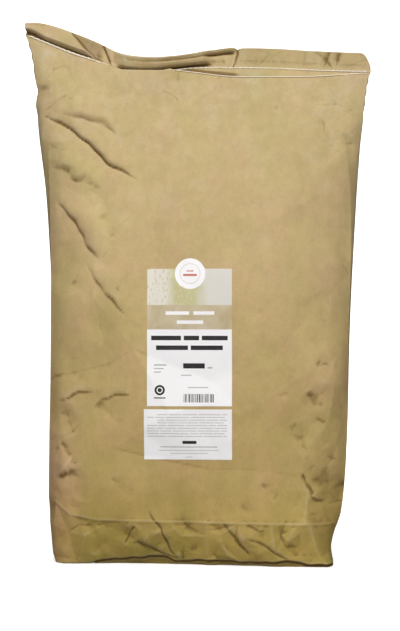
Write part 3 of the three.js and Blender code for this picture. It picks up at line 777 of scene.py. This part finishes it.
def mark_creases(piece, gain):
    """Keeps how far each point stands out from its neighbours, which pales it as wear and painted
    highlight, and how far it lies behind them, which with its kept shade darkens it as painted shade.
    """
    co = coordinates(piece)
    mesh = piece.data
    edges = np.empty(len(mesh.edges) * 2, dtype=np.int64)
    mesh.edges.foreach_get("vertices", edges)
    edges = edges.reshape(-1, 2)
    normals = np.empty(len(mesh.vertices) * 3)
    mesh.vertices.foreach_get("normal", normals)
    normals = normals.reshape(-1, 3)
    near = np.maximum(np.bincount(edges.ravel(), minlength=len(co)), 1)[:, None]

    def average(values):
        total = np.zeros_like(values)
        np.add.at(total, edges[:, 0], values[edges[:, 1]])
        np.add.at(total, edges[:, 1], values[edges[:, 0]])
        return total / near

    out = ((co - average(average(co))) * normals).sum(axis=1)[:, None] / MILLIMETRE
    out = (0.7 * out + 0.3 * average(out))[:, 0] * gain
    shade = kept_values(piece, "shade")
    # Paler where the point stands out: wear and painted highlight
    keep_values(piece, "worn_and_highlit", np.clip(out * (1 - shade), 0, 1))
    # Painted shade where the point lies behind its neighbours, plus its kept shade
    keep_values(piece, "hollow_and_painted_shade", np.clip(np.maximum(-out, 0) + shade, 0, 1))


def finish_paper(piece, gain):
    """Marks a piece's creases, gives it the paper, hangs it from the root and hides the sack that it
    stands in for.
    """
    mark_creases(piece, gain)
    piece.data.materials.append(kraft)
    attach(piece, "root")
    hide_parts("sack")


# Painted shade darkens the front in the gap at its foot, under the sewing thread, on the facet low on
# its right and below the left ear, where it reaches round the pressed edge.
EAR_DENT = (-226, 699)
for panel in (front_panel, back_panel):
    x, y, z = (coordinates(panel) / MILLIMETRE).T
    over_thread = z - seam_height(x) + through(LOOSE_DROP, x)
    wedge = between(over_thread, -0.4, 0.8, 4.2, 7.4) * between(x, -44, -30, 90, 150)
    wedge = wedge * (1 - 0.75 * ease(52, 68, x))
    above_dent = z - EAR_DENT[1]
    ear_dent = bell(x - EAR_DENT[0] + 0.5 * above_dent, 11) * bell(above_dent, 4.5)
    arch = bell(nearest(EAR_ARCH, x, z)[0], 3)
    gap = z - gap_line(x)
    foot = bell(gap, 1.5) + 0.34 * (1 - ease(-1.5, 0.5, gap))
    foot = foot * ease(-178, -150, x)
    cheek = ease(-1, 12, past_cheek(x, z)) * (1 - ease(120, 165, z))
    painted_wall_shade = wedge + 0.6 * ear_dent + 0.3 * arch + foot + 0.26 * cheek
    painted_wall_shade = painted_wall_shade * (1 if panel == front_panel else ease(-4, -10, y))
    keep_values(panel, "shade", np.clip(kept_values(panel, "shade") + painted_wall_shade, 0, 1))
    finish_paper(panel, gain=3)

# The bottom is folded shut: the two ends are turned in first, then the long flap of the back, and
# the long flap of the front is glued over them. Its folded edges meet the bottoms of the walls.
FLAP = 0.33  # thickness of the paper in a flap
FLOOR_GAP = 0.05
FLAP_REACH = 18  # how far past the middle the two long flaps reach
SPINE_END = 62  # the middle line of the bottom ends this far from each side
BASE_RINGS = 40

hem = np.vstack([front_hem[:-1], back_hem[:-1]])
bottom_flaps, column, ring = new_grid("bottom_flaps", len(hem), BASE_RINGS)
rim = hem[column % len(hem)]
near_y, far_y = hem[:, 1].min(), hem[:, 1].max()
middle_x, middle_y = (hem[:, 0].min() + hem[:, 0].max()) / 2, (near_y + far_y) / 2
half_length = (hem[:, 0].max() - hem[:, 0].min()) / 2
spine = middle_x + np.clip(rim[:, 0] - middle_x, SPINE_END - half_length, half_length - SPINE_END)
inward = np.where(ring == 0, 0, 0.012 + 0.988 * (ring - 1) / (BASE_RINGS - 1))
x = rim[:, 0] + (spine - rim[:, 0]) * inward
y = rim[:, 1] + (middle_y - rim[:, 1]) * inward
beyond_end = half_length - np.abs(x - middle_x)
front_flap = ease(0, 1.2, middle_y + FLAP_REACH - y) * ease(0, 1.2, beyond_end - 0.9 * (y - near_y))
back_flap = ease(0, 1.2, y - middle_y + FLAP_REACH) * ease(0, 1.2, beyond_end - 0.9 * (far_y - y))
z = FLOOR_GAP + FLAP * (1 - front_flap) * (2 - back_flap)
place_points(bottom_flaps, x, y, np.where(ring == 0, rim[:, 2], z))
bpy.ops.object.mode_set(mode="EDIT")
bpy.ops.mesh.select_all(action="SELECT")
bpy.ops.mesh.remove_doubles(threshold=0.01 * MILLIMETRE)
bpy.ops.object.mode_set(mode="OBJECT")
face_outwards()
if sum(face.normal.z * face.area for face in bottom_flaps.data.polygons) > 0:
    bottom_flaps.data.flip_normals()
bpy.ops.object.shade_smooth_by_angle(angle=radians(40))
finish_paper(bottom_flaps, gain=3)

# The sheet of kraft paper is closed to a tube by a lap that runs down the middle of the back, one
# edge glued over the other. The upper edge is left a little loose, so it stands up here and there.
LAP_LEFT = -15
LAP_RIGHT = 21
LAP_FOOT = 9
LAP_TOP_GAP = 3  # the lap ends this far below the seam
LAP_THICKNESS = 0.4
LAP_COLUMNS = 14
LAP_ROWS = 420


def tree_of(piece):
    faces = [tuple(p.vertices) for p in piece.data.polygons]
    return BVHTree.FromPolygons([tuple(c) for c in coordinates(piece)], faces)


def thicken(sheet, thickness):
    """Gives a sheet of points its thickness, half on each side."""
    thick = sheet.modifiers.new("thickness", "SOLIDIFY")
    thick.thickness = thickness * MILLIMETRE
    thick.offset = 0
    bpy.ops.object.modifier_apply(modifier=thick.name)
    bpy.ops.object.shade_smooth_by_angle(angle=radians(50))


back_tree = tree_of(back_panel)
back_lap, column, row = new_grid("back_lap", LAP_COLUMNS, LAP_ROWS)
share = column / LAP_COLUMNS
up = row / LAP_ROWS
x = LAP_LEFT + (LAP_RIGHT - LAP_LEFT) * share + 0.5 * np.sin(9 * up) + 0.3 * np.sin(31 * up + 1)
z = LAP_FOOT + (seam_height(x) - LAP_TOP_GAP - LAP_FOOT) * up
starts = [Vector((a, 0.3, b)) for a, b in zip((x * MILLIMETRE).tolist(), (z * MILLIMETRE).tolist())]
y = np.array([back_tree.ray_cast(start, Vector((0, -1, 0)))[0].y for start in starts]) / MILLIMETRE
lifted = 0.3 * np.clip(np.sin(23 * up + 0.6) * np.sin(41 * up), 0, 1)
y = y + LAP_THICKNESS * (0.5 - 0.9 * (1 - ease(0, 0.16, share))) + lifted * ease(0.8, 1, share)
place_points(back_lap, x, y, z)
back_lap.data.flip_normals()
thicken(back_lap, LAP_THICKNESS)
finish_paper(back_lap, gain=2)

# The lip is the paper of both walls above the seam. Each wall's plies stand up as one thin sheet;
# nothing holds their top edges together, so they part, bulge and turn over along the mouth.
LIP_HEIGHT = [
    (-255, 17), (-228, 27), (-188, 31), (-147, 29), (-68, 23.5), (-38, 20), (-14, 20), (12, 24),
    (60, 30), (255, 28),
]
LIP_LEAN = [(-255, 3), (-150, 6), (-60, -7), (0, -3), (90, 5), (255, 4)]
CORNER_REACH = 14  # the lip's right-hand corner is rounded off over this width
LIP_COLUMNS = 340
LIP_ROWS = 28
PLY = 0.4
TUCKED_IN = 0.07  # the share of its height that each sheet runs down inside the seam
EAR_FOLD = [(-186, 778), (-168, 757), (-149, 738)]
SHORT_FOLD = [(-142, 766), (-136, 752), (-130, 738)]
NOTCH = [(59, 760), (58, 748), (54, 734)]
RIGHT_CREASES = (([(194, 750), (189, 736)], 1.6), ([(209, 750), (206, 738)], 1.5))


def lip_surface(x, share):
    """The middle of the lip in depth and height, share 0 at the seam and 1 at its top edge."""
    corner = np.clip((x - MOUTH_HALF) / CORNER_REACH + 1, 0, 1)
    height = through(LIP_HEIGHT, x) * (1 - 0.72 * corner**2.2)
    lean = through(LIP_LEAN, x) * share + 4 * ease(0, 0.4, share)
    return seam_depth(x) + lean, seam_height(x) + height * share, height


def lip_sheet(name, side, lowering, parting, draw_seed):
    """One sheet of the lip: side -1 is the front wall's, 0 an inner ply and 1 the back wall's."""
    sheet, column, row = new_grid(name, LIP_COLUMNS, LIP_ROWS)
    x = -MOUTH_HALF + 2 * MOUTH_HALF * column / LIP_COLUMNS
    tucked = row / LIP_ROWS * (1 + TUCKED_IN) - TUCKED_IN
    share = np.maximum(tucked, 0)
    y, z, height = lip_surface(x, share)
    # The left ear: above a dark recess over the thread, a flap swells forward up to a slanting
    # fold. Behind that, a second facet leans back under the edge as far as a short upright fold.
    left = 1 - ease(-150, -134, x)
    fold, fold_side, _ = nearest(EAR_FOLD, x, z)
    past = ease(-2.2, 2.2, fold * fold_side)
    recess = share - 0.14 - 0.26 * ease(-222, -254, x)
    bulge = ease(0.0, 0.2, recess) * (1 - 0.5 * ease(0.3, 0.84, recess))
    flap = left * (1 - past)
    deep = (1 - ease(-0.05, 0.07, recess)) * ease(0, 0.03, share) * flap
    y = y - 10 * bulge * flap + 6 * deep
    second = left * past
    y = y + second * (9 * (1 - share) * ease(0, 0.15, share) - 3 * share)
    nick, nick_side, _ = nearest(SHORT_FOLD, x, z)
    y = y + 4.5 * fading(nick, 2.2) - 3.2 * fading(nick, 11) * (nick_side > 0)
    # Painted shade darkens the recess, the second facet, the short fold and a band under the flap's top
    # edge
    shade = 0.8 * deep + 0.46 * second * (1 - 0.5 * ease(0.84, 1, share)) + 0.6 * fading(nick, 2.6)
    shade = shade + 0.4 * flap * bell(share - 0.86, 0.07) * ease(-214, -240, x)
    # The sunken middle: a dark groove over the rolled front, a broad swell, and a rolled top edge
    middle = between(x, -126, -104, 4, 26)
    along = 0.3 + 0.7 * ease(-90, 0, x)
    waist = 0.3 * along * bell(share - 0.72, 0.1)
    swell = ease(0.16, 0.4, share) - waist - 0.5 * ease(0.92, 1.06, share)
    groove = between(share, 0, 0.04, 0.16, 0.3)
    y = y - 13 * middle * swell + 5 * middle * groove
    under_rim = between(share, 0.14, 0.24, 0.58, 0.8)
    # Painted shade darkens the groove and the band under the rolled top edge
    shade = shade + middle * (0.9 * groove + 0.4 * under_rim)
    # To its right the edge hangs over a pocket, up to a notch
    hood = between(x, 4, 20, 50, 58)
    pocket = hood * bell(share - 0.76, 0.12)
    y = y - 6 * hood * bell(share - 0.97, 0.1) + 4.5 * pocket
    valley, valley_side, _ = nearest(NOTCH, x, z)
    notch = fading(valley, 3) * ease(0.2, 0.75, share)
    y = y + 5.0 * notch - 3.0 * fading(valley, 12) * ease(-2, 2, valley * valley_side)
    z = z - 2.5 * fading(np.abs(x - NOTCH[0][0]), 2.2) * share
    # Painted shade darkens the pocket, the notch and the foot of the lip beside them
    shade = shade + 0.55 * pocket + 0.35 * notch
    shade = shade + 0.3 * between(x, 2, 14, 30, 60) * between(share, 0, 0.1, 0.3, 0.6)
    # Facets of handled paper towards the right end. The lip is made darker towards that end, and painted
    # shade darkens the hollows of its creases
    shade = shade + 0.27 * ease(50, 80, x)
    for line, depth in RIGHT_CREASES:
        crease, crease_side, _ = nearest(line, x, z)
        hollow_and_painted_shade = bell(crease, 4.5)
        beside = fading(crease, 14) * ease(-3, 3, crease * crease_side)
        y = y + depth * hollow_and_painted_shade - 0.5 * depth * beside
        shade = shade + 0.24 * depth * hollow_and_painted_shade
    small = creased(np.random.default_rng(7), x, z, spacing=17, rise=0.5)
    small = small + creased(np.random.default_rng(8), x, z, spacing=34, rise=0.9)
    y = y + small * ease(0, 0.25, share)
    draw = np.random.default_rng(draw_seed)
    wave = 0
    for _ in range(5):
        size, period, phase = draw.uniform(0.3, 1), draw.uniform(18, 60), draw.uniform(0, 6)
        wave = wave + size * np.sin(x / period + phase) / 3
    parted = parting * share**1.5 * (1.1 + 0.9 * wave) * ease(0, 12, MOUTH_HALF - np.abs(x))
    y = y + side * (SEAM_HALF_DEPTH - PLY / 2 + parted + 3 * np.minimum(tucked, 0))
    z = z - lowering * share * (1 + 0.5 * wave) + height * np.minimum(tucked, 0)
    place_points(sheet, x, y, z)
    keep_values(sheet, "shade", np.clip(shade, 0, 0.9))
    thicken(sheet, PLY)
    finish_paper(sheet, gain=3)


lip_sheet("lip_front", side=-1, lowering=0, parting=1.2, draw_seed=3)
lip_sheet("lip_inner", side=0, lowering=1.6, parting=0, draw_seed=5)
lip_sheet("lip_back", side=1, lowering=0.8, parting=1.0, draw_seed=4)

# Two labels of white satin paper are glued to the front. The upper one is cut with a round tab on
# its top edge. They follow the paper under them and are printed with plain fields of colour.
LABEL_STEP = 2.0
LABEL_GLUE = 0.15
LABEL_THICKNESS = 0.22
TAB_CENTRE = (-5, 421)
TAB_RADIUS = 22
front_tree = tree_of(front_panel)


def paper_front(x, z):
    """How deep the paper's front lies at x and z."""
    start = Vector((x * MILLIMETRE, -0.3, z * MILLIMETRE))
    hit, _, _, _ = front_tree.ray_cast(start, Vector((0, 1, 0)))
    return hit.y / MILLIMETRE if hit else float(seam_depth(x))


def label_sheet(name, left, right, bottom, top, tabbed):
    columns = int(round((right - left) / LABEL_STEP))
    rows = int(round((top - bottom) / LABEL_STEP))
    sheet, column, row = new_grid(name, columns, rows)
    x = left + (right - left) * column / columns
    top_here = np.full(len(x), float(top))
    if tabbed:
        reach = TAB_RADIUS**2 - (x - TAB_CENTRE[0]) ** 2
        top_here = np.maximum(top_here, TAB_CENTRE[1] + np.sqrt(np.maximum(reach, 0)) * (reach > 0))
    z = bottom + (top_here - bottom) * row / rows
    y = np.array([paper_front(a, b) for a, b in zip(x, z)]) - LABEL_GLUE - LABEL_THICKNESS / 2
    place_points(sheet, x, y, z)
    thicken(sheet, LABEL_THICKNESS)
    return sheet


upper_label = label_sheet("upper_label_paper", left=-67, right=55, bottom=231, top=428, tabbed=True)
lower_label = label_sheet("lower_label_paper", left=-71.5, right=55, bottom=154, top=226.5, tabbed=False)

# The print is flat fields of colour in the label's own x and z: pale and khaki bands, plain bars
# for the lines of print, a block of stripes and a small disc.
print_group, print_in, print_out = new_group(
    "printed_bar",
    [("Vector", "NodeSocketVector", None)]
    + [(side, "NodeSocketFloat", 0.0) for side in ("Left", "Right", "Bottom", "Top")],
    [("Mask", "NodeSocketFloat")],
)
bar_axes = add_node(print_group, "SeparateXYZ")
print_group.links.new(print_in.outputs["Vector"], bar_axes.inputs[0])
within = 1.0
for axis, low_edge, high_edge in (("X", "Left", "Right"), ("Z", "Bottom", "Top")):
    for operation, edge in (("GREATER_THAN", low_edge), ("LESS_THAN", high_edge)):
        inside = calculate(print_group, operation, bar_axes.outputs[axis], print_in.outputs[edge])
        within = calculate(print_group, "MULTIPLY", within, inside)
print_group.links.new(within, print_out.inputs["Mask"])

LABEL_WHITE = (0.89, 0.88, 0.90)
INK = (0.012, 0.011, 0.012)
GREY_INK = (0.42, 0.41, 0.41)
FAINT_INK = (0.56, 0.55, 0.545)
KHAKI = (0.48, 0.385, 0.225)
KHAKI_PALE = (0.66, 0.58, 0.44)
CREAM = (0.72, 0.685, 0.60)
BRICK = (0.55, 0.17, 0.12)
HUSK_GREEN = (0.53, 0.50, 0.26)
PALE_GREY = (0.66, 0.63, 0.58)


def bar(tree, place, colour, ink, left, right, bottom, top):
    """Prints one bar over the colour so far; its edges are in millimetres."""
    node = add_node(tree, "Group", node_tree=print_group)
    tree.links.new(place, node.inputs["Vector"])
    for name, value in zip(("Left", "Right", "Bottom", "Top"), (left, right, bottom, top)):
        node.inputs[name].default_value = value * MILLIMETRE
    return blend_colours(tree, "MIX", node.outputs["Mask"], colour, ink)


def disc(tree, place, colour, ink, centre, radius, inner=0.0):
    """Prints a disc, or a ring where it has an inner radius."""
    away = add_node(tree, "VectorMath", operation="MULTIPLY_ADD")
    tree.links.new(place, away.inputs[0])
    away.inputs[1].default_value = (1, 0, 1)
    away.inputs[2].default_value = (-centre[0] * MILLIMETRE, 0, -centre[1] * MILLIMETRE)
    length = add_node(tree, "VectorMath", operation="LENGTH")
    tree.links.new(away.outputs[0], length.inputs[0])
    mask = calculate(tree, "LESS_THAN", length.outputs["Value"], radius * MILLIMETRE)
    if inner:
        hole = calculate(tree, "GREATER_THAN", length.outputs["Value"], inner * MILLIMETRE)
        mask = calculate(tree, "MULTIPLY", mask, hole)
    return blend_colours(tree, "MIX", mask, colour, ink)


def finish_label(sheet, node, material, tree, shader, place, colour):
    """Finishes a label as coated paper with the colour printed on it."""
    shader.inputs["Specular IOR Level"].default_value = 0.3
    cloud = stretched_noise(tree, place, (22, 22, 22), 4, 0.6)
    grain = stretched_noise(tree, place, (700, 700, 700), 3, 0.6)
    grain_shade = span(tree, grain, 0.3, 0.7, -0.012, 0.012)
    shade = calculate(tree, "ADD", span(tree, cloud, 0.3, 0.7, 0.98, 1.0), grain_shade)
    tree.links.new(shaded(tree, colour, shade), shader.inputs["Base Color"])
    tree.links.new(span(tree, cloud, 0.3, 0.7, 0.38, 0.5), shader.inputs["Roughness"])
    add_bump(tree, shader, calculate(tree, "MULTIPLY_ADD", cloud, 3.0, grain), 0.25, 0.0003)
    sheet.data.materials.append(material)
    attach(sheet, "root")
    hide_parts(node)


upper_paper, tree, shader, place = new_material("upper_label_print")
# The picture band: kernels strewn on cream at the left, on green in the middle and none at the right
kernel_map = add_node(tree, "Mapping")
kernel_map.inputs["Rotation"].default_value = (0, radians(31), 0)
kernel_map.inputs["Scale"].default_value = (250, 1, 120)
kernels = add_node(tree, "TexVoronoi")
kernels.inputs["Scale"].default_value = 1.0
tree.links.new(place, kernel_map.inputs["Vector"])
tree.links.new(kernel_map.outputs["Vector"], kernels.inputs["Vector"])
kernel_mask = span(tree, kernels.outputs["Distance"], 0.28, 0.36, 1, 0)
kernel_core = span(tree, kernels.outputs["Distance"], 0.05, 0.3, 0.7, 0)
field = stretched_noise(tree, place, (34, 1, 26), 4, 0.6)
axes = add_node(tree, "SeparateXYZ")
tree.links.new(place, axes.inputs[0])
along = ragged(tree, axes.outputs["X"], field, 0.03)
ground = blend_colours(tree, "MIX", span(tree, along, -0.042, -0.026, 0, 1), CREAM, HUSK_GREEN)
ground = blend_colours(tree, "MIX", span(tree, along, 0.002, 0.02, 0, 1), ground, PALE_GREY)
kernel_colour = blend_colours(tree, "MIX", kernel_core, KHAKI_PALE, KHAKI)
strewn = calculate(tree, "MULTIPLY", kernel_mask, span(tree, along, -0.01, 0.02, 0.85, 0))
picture = blend_colours(tree, "MIX", strewn, ground, kernel_colour)
khaki = blend_colours(tree, "MIX", span(tree, field, 0.35, 0.65, 0, 0.6), KHAKI, KHAKI_PALE)
colour = bar(tree, place, LABEL_WHITE, picture, -68, 56, 375, 428.5)
colour = bar(tree, place, colour, khaki, -68, 56, 341, 376)
colour = disc(tree, place, colour, LABEL_WHITE, TAB_CENTRE, TAB_RADIUS)
colour = disc(tree, place, colour, CREAM, TAB_CENTRE, 15, 13.6)
colour = bar(tree, place, colour, BRICK, -15, 5, 417.5, 420.5)
colour = bar(tree, place, colour, BRICK, -10, 0, 424, 425.6)
# Three pale bars on the khaki, two rows of dark ones, a short broad one and small thin ones; below
# them a dark ring and a block of stripes
for left, right, bottom, top, ink in (
    (-40, -6, 362, 367, LABEL_WHITE), (0, 30, 362, 367, LABEL_WHITE), (-24, 14, 349, 354, LABEL_WHITE),
    (-61, -18, 325.5, 332, INK), (-14, 8, 325.5, 332, INK), (12, 49, 325.5, 332, INK),
    (-54, -8, 311.5, 318, INK), (-4, 42, 311.5, 318, INK), (-15, 16, 285, 292.5, INK),
    (20, 27, 285, 287, GREY_INK), (-57, -39, 289, 291, GREY_INK), (-57, -43, 284, 285.6, GREY_INK),
    (-57, -47, 279, 280.6, GREY_INK), (-18, -3, 274.6, 276, GREY_INK),
    (-8, 21, 257, 258.4, GREY_INK), (-57, -40, 242, 243.6, INK),
):
    colour = bar(tree, place, colour, ink, left, right, bottom, top)
RING_CENTRE = (-48.5, 254)
colour = disc(tree, place, colour, INK, RING_CENTRE, 7.4)
colour = disc(tree, place, colour, LABEL_WHITE, RING_CENTRE, 4.4, 3.0)
draw = np.random.default_rng(11)
stripe = -14.0
while stripe < 28:
    wide = draw.uniform(0.6, 1.6)
    colour = bar(tree, place, colour, INK, stripe, stripe + wide, 236.5, 248.5)
    stripe += wide + draw.uniform(0.6, 1.7)
finish_label(upper_label, "upper_label", upper_paper, tree, shader, place, colour)

# The lower label: rows of faint bars of random lengths, then a short dark one and four thin ones
lower_paper, tree, shader, place = new_material("lower_label_print")
colour = LABEL_WHITE
level = 219.5
while level > 186:
    left = -67 if draw.random() > 0.12 else -52
    while left < 44:
        right = min(left + draw.uniform(10, 34), 48)
        colour = bar(tree, place, colour, FAINT_INK, left, right, level - 1.3, level)
        left = right + 1.6
    level -= 3.9
for left, right, bottom, top, ink in (
    (-16, 4, 176.8, 181.2, INK), (-48, 34, 171.6, 173.0, GREY_INK), (-50, 36, 166.6, 167.8, FAINT_INK),
    (-34, 20, 162.4, 163.6, FAINT_INK), (-12, -2, 157.2, 158.2, FAINT_INK),
):
    colour = bar(tree, place, colour, ink, left, right, bottom, top)
finish_label(lower_label, "lower_label", lower_paper, tree, shader, place, colour)

# The mouth is closed by a chain stitch of two-ply cotton. On the front it shows as a row of long
# stitches end to end, and on the back as a chain of loops. Its thread lies in a slight groove.
STITCH_PITCH = 7.5
STITCH_END = 249
STITCH_RADIUS = 0.58  # of one ply of the thread
STITCH_PROUD = 1.1  # how far in front of the paper a stitch runs
STITCH_DIVE = 1.5  # how far its two ends go in
STITCH_INSET = 0.25  # how far from the needle's hole each end stops
STITCH_LAY = 3.2  # the length in which the plies turn once round each other
STITCH_SIDES = 6
STITCH_RINGS = 13
LOOP_RADIUS = 0.62
LOOP_SIDES = 5
LOOP_POINTS = 15
LOOP_REACH = 0.62  # half the length of a loop, as a share of the pitch
LOOP_HALF_WIDTH = 1.08


def around_path(points):
    """The points of a path as an array, and two directions square to it at each of them."""
    points = np.array(points, float)
    ahead = np.gradient(points, axis=0)
    ahead /= np.linalg.norm(ahead, axis=1)[:, None]
    across = np.cross(ahead, [0.0, 1.0, 0.0])
    across /= np.linalg.norm(across, axis=1)[:, None]
    return points, across, np.cross(across, ahead)


def tube(points, radius, sides):
    """Rings of points around a path, with a cap point at each end, and the faces between them."""
    points, across, out = around_path(points)
    turns = 2 * pi * np.arange(sides) / sides
    rings = points[:, None] + radius * (
        np.cos(turns)[None, :, None] * across[:, None] + np.sin(turns)[None, :, None] * out[:, None]
    )
    co = np.vstack([rings.reshape(-1, 3), points[:1], points[-1:]])
    faces = []
    for i in range(len(points) - 1):
        for j in range(sides):
            k = (j + 1) % sides
            faces.append((i * sides + j, i * sides + k, (i + 1) * sides + k, (i + 1) * sides + j))
    first, last, end = len(co) - 2, len(co) - 1, (len(points) - 1) * sides
    for j in range(sides):
        k = (j + 1) % sides
        faces.append((first, k, j))
        faces.append((last, end + j, end + k))
    return co, faces


def twisted_thread(points, ply_radius, lay, sides):
    """Two plies that wind round each other along a path, once in each lay of its length."""
    points, across, out = around_path(points)
    length = np.concatenate([[0], np.cumsum(np.linalg.norm(np.diff(points, axis=0), axis=1))])
    parts = []
    for half in (0, pi):
        turn = (2 * pi * length / lay + half)[:, None]
        ply = points + 0.8 * ply_radius * (np.cos(turn) * across + np.sin(turn) * out)
        parts.append(tube(ply, ply_radius, sides))
    return parts


def finish_thread(name, parts, node):
    """Joins the parts of a thread to one piece and finishes it as cotton."""
    mesh = bpy.data.meshes.new(name)
    co, faces, offset = [], [], 0
    for points, polygons in parts:
        co.append(points)
        faces += [tuple(v + offset for v in f) for f in polygons]
        offset += len(points)
    co = np.vstack(co) * MILLIMETRE
    mesh.from_pydata([tuple(c) for c in co], [], faces)
    mesh.update()
    piece = bpy.data.objects.new(name, mesh)
    scene.collection.objects.link(piece)
    bpy.ops.object.select_all(action="DESELECT")
    piece.select_set(True)
    bpy.context.view_layer.objects.active = piece
    face_outwards()
    bpy.ops.object.shade_smooth()
    piece.data.materials.append(cotton)
    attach(piece, "root")
    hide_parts(node)


COTTON = (0.90, 0.83, 0.70)
COTTON_SHADE = (0.70, 0.60, 0.45)
cotton, tree, shader, place = new_material("cotton_thread")
for label, value in (("Roughness", 0.85), ("Specular IOR Level", 0.2), ("Sheen Weight", 0.25)):
    shader.inputs[label].default_value = value
soiled = stretched_noise(tree, place, (130, 130, 130), 4, 0.6)
strands = stretched_noise(tree, place, (1500, 5200, 5200), 2, 0.5)
colour = blend_colours(tree, "MIX", span(tree, soiled, 0.45, 0.75, 0, 0.6), COTTON, COTTON_SHADE)
colour = blend_colours(tree, "MIX", span(tree, strands, 0.3, 0.7, 0.35, 0), colour, COTTON_SHADE)
tree.links.new(colour, shader.inputs["Base Color"])
add_bump(tree, shader, strands, 0.5, 0.0002)

stitches = []
count = int(round(2 * STITCH_END / STITCH_PITCH))
for i in range(count):
    start = -STITCH_END + 2 * STITCH_END * i / count
    xs = start + np.linspace(STITCH_INSET, STITCH_PITCH - STITCH_INSET, STITCH_RINGS)
    dive = np.abs(np.linspace(-1, 1, STITCH_RINGS)) ** 4
    path = []
    for px, down in zip(xs, dive):
        front_y = float(seam_depth(px)) - SEAM_HALF_DEPTH - STITCH_PROUD + STITCH_DIVE * down
        path.append((px, front_y, float(seam_height(px))))
    stitches += twisted_thread(path, STITCH_RADIUS, STITCH_LAY, STITCH_SIDES)
    # Behind, each stitch is a loop that holds the next one
    loop = []
    for turn in np.linspace(0, 2 * pi, LOOP_POINTS):
        px = start + STITCH_PITCH * (0.5 - LOOP_REACH * cos(turn))
        rise = LOOP_HALF_WIDTH * sin(turn) * (1 - 0.45 * cos(turn))
        back_y = float(seam_depth(px)) + SEAM_HALF_DEPTH + 0.8 + 0.25 * (1 - cos(turn))
        loop.append((px, back_y, float(seam_height(px)) + rise))
    stitches.append(tube(loop, LOOP_RADIUS, LOOP_SIDES))
finish_thread("seam_stitches", stitches, "seam_thread")

# A second, finer thread is caught at both ears of the sack and bows down below the seam on the
# right. It is the same two-ply cotton and lies loose on the paper.
LOOSE_RADIUS = 0.45
LOOSE_LAY = 3.4
LOOSE_POINTS = 420
LOOSE_PROUD = 1.0  # how far in front of the paper it lies
LOOSE_TAUT = 12  # how often its path is drawn straight where it would dip into a hollow
path = []
for px in np.linspace(-STITCH_END, STITCH_END, LOOSE_POINTS):
    pz = float(seam_height(px) - through(LOOSE_DROP, px))
    hidden = between(px, -170, -150, -42, -27)
    front = min(paper_front(px, pz + d) for d in (-1, 0, 1)) - LOOSE_PROUD
    path.append((px, front + hidden * (seam_depth(px) - 2.4 - front), pz))
path = np.array(path)
for _ in range(LOOSE_TAUT):
    path[1:-1, 1] = np.minimum(path[1:-1, 1], (path[:-2, 1] + path[2:, 1]) / 2)
plies = twisted_thread(path, LOOSE_RADIUS, LOOSE_LAY, STITCH_SIDES)
finish_thread("loose_thread_plies", plies, "loose_thread")
